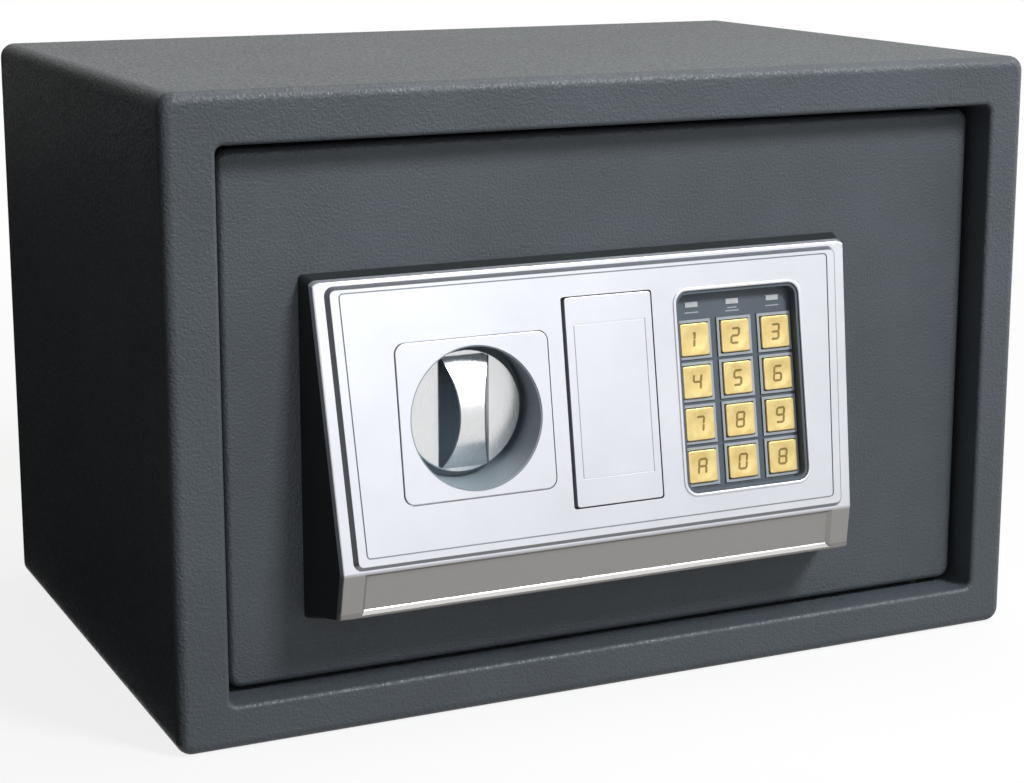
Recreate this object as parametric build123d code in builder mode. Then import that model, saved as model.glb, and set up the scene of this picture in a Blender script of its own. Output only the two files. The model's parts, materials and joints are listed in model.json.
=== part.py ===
from build123d import *
import os
from math import atan2, cos, degrees, hypot, radians, sin

os.makedirs("parts", exist_ok=True)

# Small electronic safe: a folded steel box, a recessed door that swings out on its right,
# a wedge-shaped lock console on the door, and the bolt work behind it.
# X runs to the viewer's right, Y into the safe and Z up, in millimetres.
# The origin is on the underside, at the middle of the box and of its floor anchor holes.

# Steel box
body_width = 302.0
body_depth = 200.0
body_height = 200.0
shell_thickness = 2.0
long_bend_radius = 5.0
front_bend_radius = 3.5
border_left = 16.5
border_right = 13.5
border_top = 16.0
border_bottom = 14.0
opening_corner_radius = 2.5
opening_bend_radius = 1.5
jamb_depth = 44.0
jamb_thickness = 2.0

# Anchor holes and floor mat
anchor_hole_radius = 5.0
floor_anchor_spacing_x = 200.0
floor_anchor_spacing_y = 100.0
back_anchor_spacing = 200.0
back_anchor_height = 100.0
mat_thickness = 2.5
mat_clearance = 1.5
mat_hole_radius = 13.0

# Door pan, folded from one sheet
door_recess = 10.0
door_thickness = 3.0
door_flange_depth = 12.0
door_bend_radius = 2.2
door_corner_radius = 2.0
door_gap_left = 3.0
door_gap_right = 2.0
door_gap_top = 2.2
door_gap_bottom = 1.6

# Hinge
pivot_from_door_edge = 12.0
pivot_from_door_face = 6.5
hinge_pin_radius = 3.0
hinge_running_clearance = 0.06
hinge_pin_reach = 12.0
hinge_pin_head_radius = 5.0
hinge_pin_head_height = 2.0
hinge_block_width = 14.0
hinge_block_height = 9.0

# Stops welded to the sill, which the shut door rests against
stop_width = 20.0
stop_height = 4.0
stop_depth = 7.0
stop_clearance = 0.2
stop_from_left = 24.0
stop_spacing = 170.0

# Inner cover of the door
liner_thickness = 1.2
liner_depth = 30.0
liner_side_clearance = 0.5
liner_bend_radius = 2.0
liner_corner_radius = 4.0
liner_from_pivot = 14.0
post_radius = 3.5
post_inset = 9.0
liner_screw_head_radius = 3.6
liner_screw_head_height = 1.6

# Lock console, whose four sides lean in as they rise from the door
console_width = 190.0
console_height = 108.0
console_from_door_left = 24.6
console_below_door_middle = 9.6
console_draft = 0.23
console_top_rise = 7.4
console_bend_rise = 21.8
console_chin_rise = 19.5
console_bend_from_bottom = 19.5
console_skin = 2.0
console_corner_radius = 1.6
console_edge_radius = 0.7
rail_width = 3.4
face_plate_height = 1.5
face_plate_bevel = 1.3
face_plate_corner_radius = 3.0
face_plate_top_inset = 1.3
face_plate_bottom_inset = 0.5
face_line_side_inset = 2.6
face_line_top_inset = 0.9
face_line_bottom_inset = 2.1
face_line_corner_radius = 1.5
face_line_width = 0.45
face_line_depth = 0.35
chin_recess_depth = 1.2
chin_recess_bevel = 1.2
chin_recess_side_inset = 7.0
chin_recess_top_inset = 0.8
chin_lip = 0.9
console_screw_radius = 2.0
console_screw_head_radius = 3.6
console_screw_head_height = 2.4
console_screw_bite = 5.0
console_screw_side_inset = 21.0
console_screw_end_inset = 14.0

# Knob and its well
knob_from_console_left = 51.4
knob_below_top = 44.8
well_radius = 21.7
well_wall = 0.4
well_rim_clearance = 0.05
well_floor_thickness = 1.5
escutcheon_width = 51.0
escutcheon_height = 49.2
escutcheon_corner_radius = 3.2
escutcheon_gap = 0.35
escutcheon_proud = 0.3
escutcheon_edge_radius = 0.3
knob_radius = 19.5
knob_disc_thickness = 4.0
knob_floor_gap = 0.5
knob_edge_radius = 0.5
grip_base_width = 17.3
grip_crest_width = 8.6
grip_length = 36.8
grip_rise = 7.2
grip_edge_radius = 0.35
shaft_radius = 5.0
shaft_running_clearance = 0.08
clip_radius = 8.0
clip_thickness = 1.0
clip_gap = 0.2

# Bolt work: the knob's arm drives a carriage that carries two round bolts
bolt_radius = 7.5
bolt_throw = 14.0
bolt_spacing = 90.0
bolts_above_door_middle = 0.3
bolt_behind_door_plate = 19.0
bolt_tip_setback = 0.2
bolt_nose_chamfer = 1.5
bolt_guide_clearance = 0.3
jamb_bolt_clearance = 0.6
spigot_radius = 4.0
spigot_head_radius = 5.2
spigot_head_height = 1.5
carriage_thickness = 2.5
carriage_behind_door_plate = 11.0
carriage_left_inset = 19.5
carriage_flange_depth = 14.0
carriage_flange_margin = 9.0
carriage_body_width = 26.0
carriage_arm_height = 31.0
carriage_arm_end = 17.5
carriage_corner_radius = 3.0
arm_thickness = 3.0
arm_gap = 2.0
arm_hub_radius = 9.0
arm_tip_radius = 5.0
drive_pin_radius = 2.5
drive_pin_slot_clearance = 0.5
drive_pin_tail = 1.5
knob_turn = 90.0
stud_radius = 3.0
stud_shoulder_radius = 4.5
stud_head_radius = 5.0
stud_head_height = 1.5
stud_side_clearance = 0.2
stud_end_clearance = 0.15
stud_spacing = 60.0
stud_from_carriage_left = 14.0

# Solenoid that holds the bolts out
solenoid_from_knob = 23.5
solenoid_width = 26.0
solenoid_height = 28.0
solenoid_depth = 24.5
solenoid_frame_thickness = 1.5
solenoid_coil_radius = 10.5
solenoid_from_tab = 17.0
plunger_radius = 3.5
plunger_clearance = 0.08
plunger_tip_gap = 0.2
plunger_collar_radius = 5.5
plunger_collar_height = 1.5
plunger_collar_from_tip = 4.0
plunger_insertion = 18.0
tab_height = 9.0
tab_rise = 3.5
tab_root = 9.0
tab_lock_gap = 0.5

# Emergency key lock under the removable cover
lock_radius = 9.5
lock_clearance = 0.2
lock_plug_radius = 7.0
lock_plug_clearance = 0.05
lock_rear_from_door_plate = 16.0
lock_front_proud = 0.9
lock_below_top = 44.0
lock_nut_radius = 13.0
lock_nut_height = 5.0
keyway_width = 1.6
keyway_height = 8.4
keyway_depth = 6.0
cam_gap = 0.4
cam_thickness = 2.4
cam_length = 27.0
cam_width = 6.0
cam_hub_radius = 6.0
cam_rest_angle = 45.0

# Removable cover over the key lock
cover_left_from_console_left = 83.7
cover_width = 30.5
cover_height = 66.0
cover_below_top = 10.8
cover_gap_left = 1.3
cover_gap = 0.35
cover_thickness = 2.0
cover_skirt = 1.2
cover_pocket_depth = 5.4
cover_floor_gap = 0.2
cover_corner_radius = 1.0
cover_edge_radius = 0.25
label_width = 25.6
label_height = 49.0
label_below_cover_top = 8.4
label_line_width = 0.45
label_line_depth = 0.3

# Keypad
keypad_centre_from_console_left = 145.9
keypad_centre_below_top = 44.6
keypad_width = 45.6
keypad_height = 65.0
keypad_corner_radius = 4.0
keypad_bead_width = 1.1
keypad_bead_height = 0.5
keypad_bead_radius = 0.4
keypad_fit = 0.1
keypad_tray_wall = 0.9
keypad_recess = 4.0
keypad_floor_thickness = 1.2
tray_rim_drop = 0.3
key_size = 10.4
key_hole_clearance = 0.2
key_corner_radius = 0.6
key_crown_radius = 0.4
key_rise = 1.3
key_travel = 0.6
key_flange_margin = 0.7
key_flange_thickness = 0.8
key_flange_gap = 0.1
key_spacing_x = 15.1
key_spacing_z = 13.7
first_key_row_below_top = 27.9
key_frame_width = 1.0
key_frame_height = 0.45
membrane_clearance = 0.2
membrane_thickness = 1.0
circuit_board_thickness = 1.6
board_clearance = 0.3
light_width = 4.6
light_height = 1.7
light_rise = 0.25
light_sink = 0.6
light_below_top = 16.7
wire_hole_radius = 6.0

# Battery box in the inner cover
cell_radius = 7.25
cell_length = 50.0
cell_button_radius = 2.7
cell_button_length = 1.0
cell_spacing = 15.2
cell_count = 4
cell_end_clearance = 2.0
cell_side_clearance = 0.4
battery_wall = 1.5
battery_flange_margin = 4.0
battery_flange_thickness = 1.5
battery_window_clearance = 0.2
battery_from_liner_right = 17.5
battery_from_liner_bottom = 22.0
battery_cover_thickness = 2.0
battery_cover_skirt_clearance = 0.3
battery_cover_skirt_depth = 3.0
battery_cover_notch_radius = 3.0
battery_cover_margin = 2.5
battery_corner_radius = 3.0

# Code reset button
reset_from_liner_right = 12.0
reset_from_liner_top = 38.0
reset_radius = 2.8
reset_hole_clearance = 0.3
reset_proud = 1.0
reset_flange_radius = 4.0
reset_flange_thickness = 1.0
reset_flange_gap = 0.1
reset_travel = 1.2
reset_stem_radius = 1.5
reset_switch_size = 9.0
reset_switch_gap = 0.3
reset_stem_length = 1.6

# Planes and edges that follow from the sizes
front_y = -body_depth / 2
back_y = body_depth / 2
opening_left = -body_width / 2 + border_left
opening_right = body_width / 2 - border_right
opening_bottom = border_bottom
opening_top = body_height - border_top
opening_width = opening_right - opening_left
opening_height = opening_top - opening_bottom
opening_mid_x = (opening_left + opening_right) / 2
opening_mid_z = (opening_bottom + opening_top) / 2
door_left = opening_left + door_gap_left
door_right = opening_right - door_gap_right
door_bottom = opening_bottom + door_gap_bottom
door_top = opening_top - door_gap_top
door_width = door_right - door_left
door_height = door_top - door_bottom
door_mid_x = (door_left + door_right) / 2
door_mid_z = (door_bottom + door_top) / 2
door_face_y = front_y + door_recess
plate_back_y = door_face_y + door_thickness
flange_end_y = door_face_y + door_flange_depth
pivot_x = door_right - pivot_from_door_edge
pivot_y = door_face_y + pivot_from_door_face

# Frame of the console's sloping front: X right, local Y up the slope, Z out of it
console_left = door_left + console_from_door_left
console_right = console_left + console_width
console_mid_x = (console_left + console_right) / 2
console_screw_spacing_x = console_width - 2 * console_screw_side_inset
console_screw_spacing_z = console_height - 2 * console_screw_end_inset
console_mid_z = door_mid_z - console_below_door_middle
console_bottom = console_mid_z - console_height / 2
console_top = console_mid_z + console_height / 2
slope_top_z = console_top - console_draft * console_top_rise
bend_z = console_bottom + console_bend_from_bottom
chin_bottom_z = console_bottom + console_draft * console_chin_rise
slope_drop = slope_top_z - bend_z
slope_gain = console_bend_rise - console_top_rise
slope_length = hypot(slope_drop, slope_gain)
slope_angle = atan2(slope_gain, slope_drop)
chin_drop = bend_z - chin_bottom_z
chin_gain = console_bend_rise - console_chin_rise
chin_length = hypot(chin_drop, chin_gain)
chin_angle = atan2(chin_gain, chin_drop)
slope_plane = Plane(
    origin=(0, door_face_y - console_top_rise, slope_top_z),
    x_dir=(1, 0, 0),
    z_dir=(0, -cos(slope_angle), sin(slope_angle)),
)
slope_axis = Axis(slope_plane.origin, slope_plane.z_dir)
chin_plane = Plane(
    origin=(0, door_face_y - console_bend_rise, bend_z),
    x_dir=(1, 0, 0),
    z_dir=(0, -cos(chin_angle), -sin(chin_angle)),
)
slope_left_top = console_left + console_draft * console_top_rise
slope_left_bend = console_left + console_draft * console_bend_rise
slope_right_top = console_right - console_draft * console_top_rise
slope_right_bend = console_right - console_draft * console_bend_rise
chin_left_end = console_left + console_draft * console_chin_rise
chin_right_end = console_right - console_draft * console_chin_rise


def facing_plane(y):
    """Upright plane at depth y whose normal points at the viewer."""
    return Plane.XZ.offset(-y)


def height_on_slope(distance):
    """World Z of a point on the slope, measured down from its top edge."""
    return slope_top_z - distance * cos(slope_angle)


def depth_on_slope(distance):
    """World Y of a point on the slope, measured down from its top edge."""
    return door_face_y - console_top_rise - distance * sin(slope_angle)


def draw_cover_opening():
    """Opening of the key lock's cover, drawn into the sketch on the slope."""
    with Locations((cover_mid_x + (cover_gap - cover_gap_left) / 2, -cover_mid_v)):
        RectangleRounded(
            cover_width + cover_gap + cover_gap_left,
            cover_height + 2 * cover_gap,
            cover_corner_radius,
        )


def draw_keypad_outline(inset, mode=Mode.ADD):
    """Rounded outline of the keypad's opening, drawn in by an inset on each side."""
    with Locations((keypad_x, -keypad_centre_below_top)):
        RectangleRounded(
            keypad_width - 2 * inset,
            keypad_height - 2 * inset,
            keypad_corner_radius - inset,
            mode=mode,
        )


knob_x = console_left + knob_from_console_left
knob_z = height_on_slope(knob_below_top)
well_floor_y = door_face_y - well_floor_thickness
knob_back_y = well_floor_y - knob_floor_gap
knob_face_y = knob_back_y - knob_disc_thickness
cover_left = console_left + cover_left_from_console_left
cover_mid_x = cover_left + cover_width / 2
cover_mid_v = cover_below_top + cover_height / 2
lock_x = cover_mid_x
lock_z = height_on_slope(lock_below_top)
keypad_x = console_left + keypad_centre_from_console_left
tray_floor_offset = face_plate_height - keypad_recess
tray_under_offset = tray_floor_offset - keypad_floor_thickness
key_flange_offset = tray_under_offset - key_flange_gap
membrane_offset = key_flange_offset - key_flange_thickness - key_travel - membrane_clearance
board_offset = membrane_offset - membrane_thickness
board_back_offset = board_offset - circuit_board_thickness

# Steel body: a wrap with the front border folded in
with BuildPart() as body_wrap:
    with BuildSketch(facing_plane(front_y)):
        with Locations((0, body_height / 2)):
            RectangleRounded(body_width, body_height, long_bend_radius)
    extrude(amount=-body_depth)
    fillet(body_wrap.faces().sort_by(Axis.Y)[0].edges(), front_bend_radius)
    with BuildSketch(facing_plane(front_y + shell_thickness)):
        with Locations((0, body_height / 2)):
            RectangleRounded(
                body_width - 2 * shell_thickness,
                body_height - 2 * shell_thickness,
                long_bend_radius - shell_thickness,
            )
    extrude(amount=shell_thickness - body_depth, mode=Mode.SUBTRACT)
    with BuildSketch(facing_plane(front_y)):
        with Locations((opening_mid_x, opening_mid_z)):
            RectangleRounded(opening_width, opening_height, opening_corner_radius)
    extrude(amount=-shell_thickness, mode=Mode.SUBTRACT)
    border_face = body_wrap.faces().sort_by(Axis.Y)[0]
    fillet(border_face.inner_wires()[0].edges(), opening_bend_radius)
    with BuildSketch(Plane.XY):
        with GridLocations(floor_anchor_spacing_x, floor_anchor_spacing_y, 2, 2):
            Circle(anchor_hole_radius)
    extrude(amount=shell_thickness, mode=Mode.SUBTRACT)
body_wrap.part.label = "body_wrap"
export_step(body_wrap.part, "parts/body_wrap.step")

# Jamb: a welded tube of four returns behind the border
bolt_y = plate_back_y + bolt_behind_door_plate
bolt_mid_z = door_mid_z + bolts_above_door_middle
with BuildPart() as door_jamb:
    with BuildSketch(facing_plane(front_y + shell_thickness)):
        with Locations((opening_mid_x, opening_mid_z)):
            RectangleRounded(
                opening_width + 2 * jamb_thickness,
                opening_height + 2 * jamb_thickness,
                opening_corner_radius + jamb_thickness,
            )
            RectangleRounded(
                opening_width, opening_height, opening_corner_radius, mode=Mode.SUBTRACT
            )
    extrude(amount=-jamb_depth)
    with BuildSketch(Plane.YZ.offset(opening_left)):
        with Locations((bolt_y, bolt_mid_z)):
            with GridLocations(0, bolt_spacing, 1, 2):
                Circle(bolt_radius + jamb_bolt_clearance)
    extrude(amount=-jamb_thickness, mode=Mode.SUBTRACT)
    with BuildSketch(Plane.XY):
        with Locations((pivot_x, pivot_y)):
            Circle(hinge_pin_radius)
    extrude(amount=body_height, mode=Mode.SUBTRACT)
door_jamb.part.label = "door_jamb"
export_step(door_jamb.part, "parts/door_jamb.step")

# Back panel, welded flush inside the wrap
with BuildPart() as back_panel:
    with BuildSketch(facing_plane(back_y)):
        with Locations((0, body_height / 2)):
            RectangleRounded(
                body_width - 2 * shell_thickness,
                body_height - 2 * shell_thickness,
                long_bend_radius - shell_thickness,
            )
        with Locations((0, back_anchor_height)):
            with GridLocations(back_anchor_spacing, 0, 2, 1):
                Circle(anchor_hole_radius, mode=Mode.SUBTRACT)
    extrude(amount=shell_thickness)
back_panel.part.label = "back_panel"
export_step(back_panel.part, "parts/back_panel.step")

# Felt mat on the floor of the safe, open round the anchor holes
mat_width = body_width - 2 * shell_thickness - 2 * mat_clearance - 2 * long_bend_radius
mat_depth = body_depth - 2 * shell_thickness - 2 * mat_clearance
with BuildPart() as floor_mat:
    with BuildSketch(Plane.XY.offset(shell_thickness)):
        Rectangle(mat_width, mat_depth)
        with GridLocations(floor_anchor_spacing_x, floor_anchor_spacing_y, 2, 2):
            Circle(mat_hole_radius, mode=Mode.SUBTRACT)
    extrude(amount=mat_thickness)
floor_mat.part.label = "floor_mat"
export_step(floor_mat.part, "parts/floor_mat.step")

# Hinge pins: headed pins through the top and bottom returns into the door
pin_top_seat = opening_top + jamb_thickness
pin_bottom_seat = opening_bottom - jamb_thickness
with BuildPart() as hinge_pins:
    with BuildSketch(Plane.XY.offset(pin_top_seat)):
        with Locations((pivot_x, pivot_y)):
            Circle(hinge_pin_radius)
    extrude(amount=door_top - hinge_pin_reach - pin_top_seat)
    with BuildSketch(Plane.XY.offset(pin_top_seat)):
        with Locations((pivot_x, pivot_y)):
            Circle(hinge_pin_head_radius)
    extrude(amount=hinge_pin_head_height)
    with BuildSketch(Plane.XY.offset(pin_bottom_seat)):
        with Locations((pivot_x, pivot_y)):
            Circle(hinge_pin_radius)
    extrude(amount=door_bottom + hinge_pin_reach - pin_bottom_seat)
    with BuildSketch(Plane.XY.offset(pin_bottom_seat)):
        with Locations((pivot_x, pivot_y)):
            Circle(hinge_pin_head_radius)
    extrude(amount=-hinge_pin_head_height)
hinge_pins.part.label = "hinge_pins"
export_step(hinge_pins.part, "parts/hinge_pins.step")

# Two stops on the sill, just behind the shut door's lower flange
stop_y = flange_end_y + stop_clearance
with BuildPart() as door_stops:
    with BuildSketch(Plane.XY.offset(opening_bottom)):
        with Locations((door_left + stop_from_left + stop_spacing / 2, stop_y + stop_depth / 2)):
            with GridLocations(stop_spacing, 0, 2, 1):
                Rectangle(stop_width, stop_depth)
    extrude(amount=stop_height)
door_stops.part.label = "door_stops"
export_step(door_stops.part, "parts/door_stops.step")

# Door pan: a plate with four folded flanges
with BuildPart() as door_pan:
    with BuildSketch(facing_plane(door_face_y)):
        with Locations((door_mid_x, door_mid_z)):
            RectangleRounded(door_width, door_height, door_corner_radius + door_bend_radius)
    extrude(amount=-door_flange_depth)
    fillet(door_pan.faces().sort_by(Axis.Y)[0].edges(), door_bend_radius)
    with BuildSketch(facing_plane(plate_back_y)):
        with Locations((door_mid_x, door_mid_z)):
            RectangleRounded(
                door_width - 2 * door_thickness,
                door_height - 2 * door_thickness,
                door_corner_radius,
            )
    extrude(amount=door_thickness - door_flange_depth, mode=Mode.SUBTRACT)
    with BuildSketch(facing_plane(door_face_y)):
        with Locations((knob_x, knob_z)):
            Circle(shaft_radius + shaft_running_clearance)
        with Locations((lock_x, lock_z)):
            Circle(lock_radius + lock_clearance)
        with Locations((keypad_x, console_mid_z)):
            Circle(wire_hole_radius)
        with Locations((console_mid_x, console_mid_z)):
            with GridLocations(console_screw_spacing_x, console_screw_spacing_z, 2, 2):
                Circle(console_screw_radius)
    extrude(amount=-door_thickness, mode=Mode.SUBTRACT)
    with BuildSketch(Plane.XY):
        with Locations((pivot_x, pivot_y)):
            Circle(hinge_pin_radius + hinge_running_clearance)
    extrude(amount=body_height, mode=Mode.SUBTRACT)
door_pan.part.label = "door_pan"
export_step(door_pan.part, "parts/door_pan.step")

# Hinge blocks, welded in the pan's corners round the pins
block_depth = door_flange_depth - door_thickness
with BuildPart() as hinge_blocks:
    with BuildSketch(Plane.XY.offset(door_top - door_thickness)):
        with Locations((pivot_x, plate_back_y + block_depth / 2)):
            Rectangle(hinge_block_width, block_depth)
        with Locations((pivot_x, pivot_y)):
            Circle(hinge_pin_radius + hinge_running_clearance, mode=Mode.SUBTRACT)
    extrude(amount=-hinge_block_height)
    with BuildSketch(Plane.XY.offset(door_bottom + door_thickness)):
        with Locations((pivot_x, plate_back_y + block_depth / 2)):
            Rectangle(hinge_block_width, block_depth)
        with Locations((pivot_x, pivot_y)):
            Circle(hinge_pin_radius + hinge_running_clearance, mode=Mode.SUBTRACT)
    extrude(amount=hinge_block_height)
hinge_blocks.part.label = "hinge_blocks"
export_step(hinge_blocks.part, "parts/hinge_blocks.step")

# Console moulding without its hollows: a drafted block cut by the slope and the chin
console_draft_angle = degrees(atan2(console_draft, 1))


def console_block(inset):
    """Solid console whose sloping front and chin lie inset below the finished faces."""
    with BuildPart() as block:
        with BuildSketch(facing_plane(door_face_y)):
            with Locations((console_mid_x, console_mid_z)):
                RectangleRounded(console_width, console_height, console_corner_radius)
        extrude(amount=console_bend_rise, taper=console_draft_angle)
        split(bisect_by=slope_plane.offset(-inset), keep=Keep.BOTTOM)
        split(bisect_by=chin_plane.offset(-inset), keep=Keep.BOTTOM)
    return block.part


console_core_solid = console_block(console_skin)

# Outside of the well's wall, which shows as a thin ring round the knob
well_outer_radius = well_radius + well_wall

# Black console housing with the knob's well, the lock pocket and the keypad pocket
with BuildPart() as console_base:
    add(console_core_solid)
    with BuildSketch(facing_plane(door_face_y)):
        with Locations((knob_x, knob_z)):
            Circle(well_outer_radius)
    extrude(amount=console_bend_rise + face_plate_height)
    split(bisect_by=slope_plane.offset(face_plate_height), keep=Keep.BOTTOM)
    with BuildSketch(facing_plane(well_floor_y)):
        with Locations((knob_x, knob_z)):
            Circle(well_radius)
    extrude(amount=console_bend_rise, mode=Mode.SUBTRACT)
    with BuildSketch(facing_plane(door_face_y)):
        with Locations((knob_x, knob_z)):
            Circle(shaft_radius + shaft_running_clearance)
        with Locations((lock_x, lock_z)):
            Circle(lock_radius + lock_clearance)
        with Locations((keypad_x, console_mid_z)):
            Circle(wire_hole_radius)
    extrude(amount=console_bend_rise, mode=Mode.SUBTRACT)
    with BuildSketch(slope_plane.offset(face_plate_height - cover_pocket_depth)):
        draw_cover_opening()
    extrude(amount=cover_pocket_depth, mode=Mode.SUBTRACT)
    with BuildSketch(slope_plane.offset(board_back_offset)):
        draw_keypad_outline(0)
    extrude(amount=face_plate_height - board_back_offset, mode=Mode.SUBTRACT)
    with BuildSketch(facing_plane(door_face_y)):
        with Locations((console_mid_x, console_mid_z)):
            with GridLocations(console_screw_spacing_x, console_screw_spacing_z, 2, 2):
                Circle(console_screw_radius)
    extrude(amount=console_screw_bite, mode=Mode.SUBTRACT)
console_base.part.label = "console_base"
export_step(console_base.part, "parts/console_base.step")

# Silver console front: a skin over the slope and the chin, recessed between its rails
recess_taper = degrees(atan2(chin_recess_bevel, chin_recess_depth))
with BuildPart() as console_front:
    add(console_block(0.0))
    slope_and_chin = console_front.faces().sort_by(Axis.Y)[0:2]
    fillet(set(slope_and_chin.edges()), console_edge_radius)
    add(console_core_solid, mode=Mode.SUBTRACT)
    with BuildSketch(facing_plane(door_face_y)):
        with Locations((knob_x, knob_z)):
            Circle(well_outer_radius + well_rim_clearance)
    extrude(amount=console_bend_rise + face_plate_height, mode=Mode.SUBTRACT)
    with BuildSketch(slope_plane.offset(-console_skin)):
        draw_cover_opening()
        draw_keypad_outline(0)
    extrude(amount=console_skin, mode=Mode.SUBTRACT)
    with BuildSketch(chin_plane):
        with BuildLine():
            Polyline(
                (chin_left_end + chin_recess_side_inset, chin_lip - chin_length),
                (chin_right_end - chin_recess_side_inset, chin_lip - chin_length),
                (slope_right_bend - chin_recess_side_inset, -chin_recess_top_inset),
                (slope_left_bend + chin_recess_side_inset, -chin_recess_top_inset),
                close=True,
            )
        make_face()
    extrude(amount=-chin_recess_depth, taper=recess_taper, mode=Mode.SUBTRACT)
console_front.part.label = "console_front"
export_step(console_front.part, "parts/console_front.step")


def slope_outline(side_inset, top_inset, bottom_inset):
    """Corners of the slope's outline, drawn in by an inset on each side."""
    lean = (slope_left_bend - slope_left_top) / slope_length
    top_left = slope_left_top + lean * top_inset + side_inset
    top_right = slope_right_top - lean * top_inset - side_inset
    low = slope_length - bottom_inset
    low_left = slope_left_top + lean * low + side_inset
    low_right = slope_right_top - lean * low - side_inset
    return [(low_left, -low), (low_right, -low), (top_right, -top_inset), (top_left, -top_inset)]


# Raised face plate with bevelled edges and one fine line inside them
line_side = rail_width + face_plate_bevel + face_line_side_inset
line_top = face_plate_top_inset + face_plate_bevel + face_line_top_inset
line_bottom = face_plate_bottom_inset + face_plate_bevel + face_line_bottom_inset
bevel_angle = degrees(atan2(face_plate_bevel, face_plate_height))
with BuildPart() as face_plate:
    with BuildSketch(slope_plane):
        with BuildLine():
            Polyline(
                *slope_outline(rail_width, face_plate_top_inset, face_plate_bottom_inset), close=True
            )
        outline = make_face()
        fillet(outline.vertices(), face_plate_corner_radius)
    extrude(amount=face_plate_height, taper=bevel_angle)
    with BuildSketch(slope_plane.offset(face_plate_height - face_line_depth)):
        with BuildLine():
            Polyline(*slope_outline(line_side, line_top, line_bottom), close=True)
        outline = make_face()
        fillet(outline.vertices(), face_line_corner_radius)
        offset(amount=-face_line_width, mode=Mode.SUBTRACT)
    extrude(amount=face_line_depth, mode=Mode.SUBTRACT)
    with BuildSketch(slope_plane):
        with Locations((knob_x, -knob_below_top)):
            RectangleRounded(
                escutcheon_width + 2 * escutcheon_gap,
                escutcheon_height + 2 * escutcheon_gap,
                escutcheon_corner_radius + escutcheon_gap,
            )
        draw_cover_opening()
        draw_keypad_outline(0)
    extrude(amount=face_plate_height, mode=Mode.SUBTRACT)
    with BuildSketch(slope_plane.offset(face_plate_height)):
        draw_keypad_outline(-keypad_bead_width)
        draw_keypad_outline(0, mode=Mode.SUBTRACT)
    extrude(amount=keypad_bead_height)
    bead_face = face_plate.faces().sort_by(slope_axis)[-1]
    fillet(bead_face.edges(), keypad_bead_radius)
face_plate.part.label = "face_plate"
export_step(face_plate.part, "parts/face_plate.step")

# Rounded square round the well, set in the face plate and a little proud of it
with BuildPart() as knob_escutcheon:
    with BuildSketch(slope_plane):
        with Locations((knob_x, -knob_below_top)):
            RectangleRounded(escutcheon_width, escutcheon_height, escutcheon_corner_radius)
    extrude(amount=face_plate_height + escutcheon_proud)
    escutcheon_face = knob_escutcheon.faces().sort_by(slope_axis)[-1]
    fillet(escutcheon_face.edges(), escutcheon_edge_radius)
    with BuildSketch(facing_plane(door_face_y)):
        with Locations((knob_x, knob_z)):
            Circle(well_outer_radius + well_rim_clearance)
    extrude(amount=2 * console_bend_rise, mode=Mode.SUBTRACT)
knob_escutcheon.part.label = "knob_escutcheon"
export_step(knob_escutcheon.part, "parts/knob_escutcheon.step")

# Console screws, driven from inside the door pan
with BuildPart() as console_screws:
    with BuildSketch(facing_plane(plate_back_y)):
        with Locations((console_mid_x, console_mid_z)):
            with GridLocations(console_screw_spacing_x, console_screw_spacing_z, 2, 2):
                Circle(console_screw_radius)
    extrude(amount=door_thickness + console_screw_bite)
    with BuildSketch(facing_plane(plate_back_y)):
        with Locations((console_mid_x, console_mid_z)):
            with GridLocations(console_screw_spacing_x, console_screw_spacing_z, 2, 2):
                Circle(console_screw_head_radius)
    extrude(amount=-console_screw_head_height)
console_screws.part.label = "console_screws"
export_step(console_screws.part, "parts/console_screws.step")

# Knob: a disc with an arched grip whose flanks lean in
with BuildPart() as grip:
    with BuildSketch(Plane.XY.offset(knob_z - grip_length)):
        with BuildLine():
            Polyline(
                (knob_x - grip_base_width / 2, knob_face_y),
                (knob_x + grip_base_width / 2, knob_face_y),
                (knob_x + grip_crest_width / 2, knob_face_y - grip_rise),
                (knob_x - grip_crest_width / 2, knob_face_y - grip_rise),
                close=True,
            )
        make_face()
    extrude(amount=2 * grip_length)
    with BuildSketch(Plane.YZ.offset(knob_x - grip_base_width)):
        with BuildLine():
            ThreePointArc(
                (knob_face_y, knob_z - grip_length / 2),
                (knob_face_y - grip_rise, knob_z),
                (knob_face_y, knob_z + grip_length / 2),
            )
            Line(
                (knob_face_y, knob_z + grip_length / 2),
                (knob_face_y, knob_z - grip_length / 2),
            )
        make_face()
    extrude(amount=2 * grip_base_width, mode=Mode.INTERSECT)
    fillet(grip.faces().sort_by(Axis.Y)[0].edges(), grip_edge_radius)
    with BuildSketch(facing_plane(knob_face_y)):
        with Locations((knob_x, knob_z)):
            Circle(knob_radius - knob_edge_radius)
    extrude(amount=2 * grip_rise, mode=Mode.INTERSECT)

with BuildPart() as knob:
    with BuildSketch(facing_plane(knob_back_y)):
        with Locations((knob_x, knob_z)):
            Circle(knob_radius)
    extrude(amount=knob_disc_thickness)
    fillet(knob.edges().group_by(Axis.Y)[0], knob_edge_radius)
    add(grip.part)
knob.part.label = "knob"
export_step(knob.part, "parts/knob.step")

# Knob shaft with its retaining clip behind the door plate
arm_back_y = plate_back_y + carriage_behind_door_plate - arm_gap
arm_front_y = arm_back_y - arm_thickness
with BuildPart() as knob_shaft:
    with BuildSketch(facing_plane(knob_back_y)):
        with Locations((knob_x, knob_z)):
            Circle(shaft_radius)
    extrude(amount=knob_back_y - arm_back_y)
    with BuildSketch(facing_plane(plate_back_y + clip_gap)):
        with Locations((knob_x, knob_z)):
            Circle(clip_radius)
    extrude(amount=-clip_thickness)
knob_shaft.part.label = "knob_shaft"
export_step(knob_shaft.part, "parts/knob_shaft.step")

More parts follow.
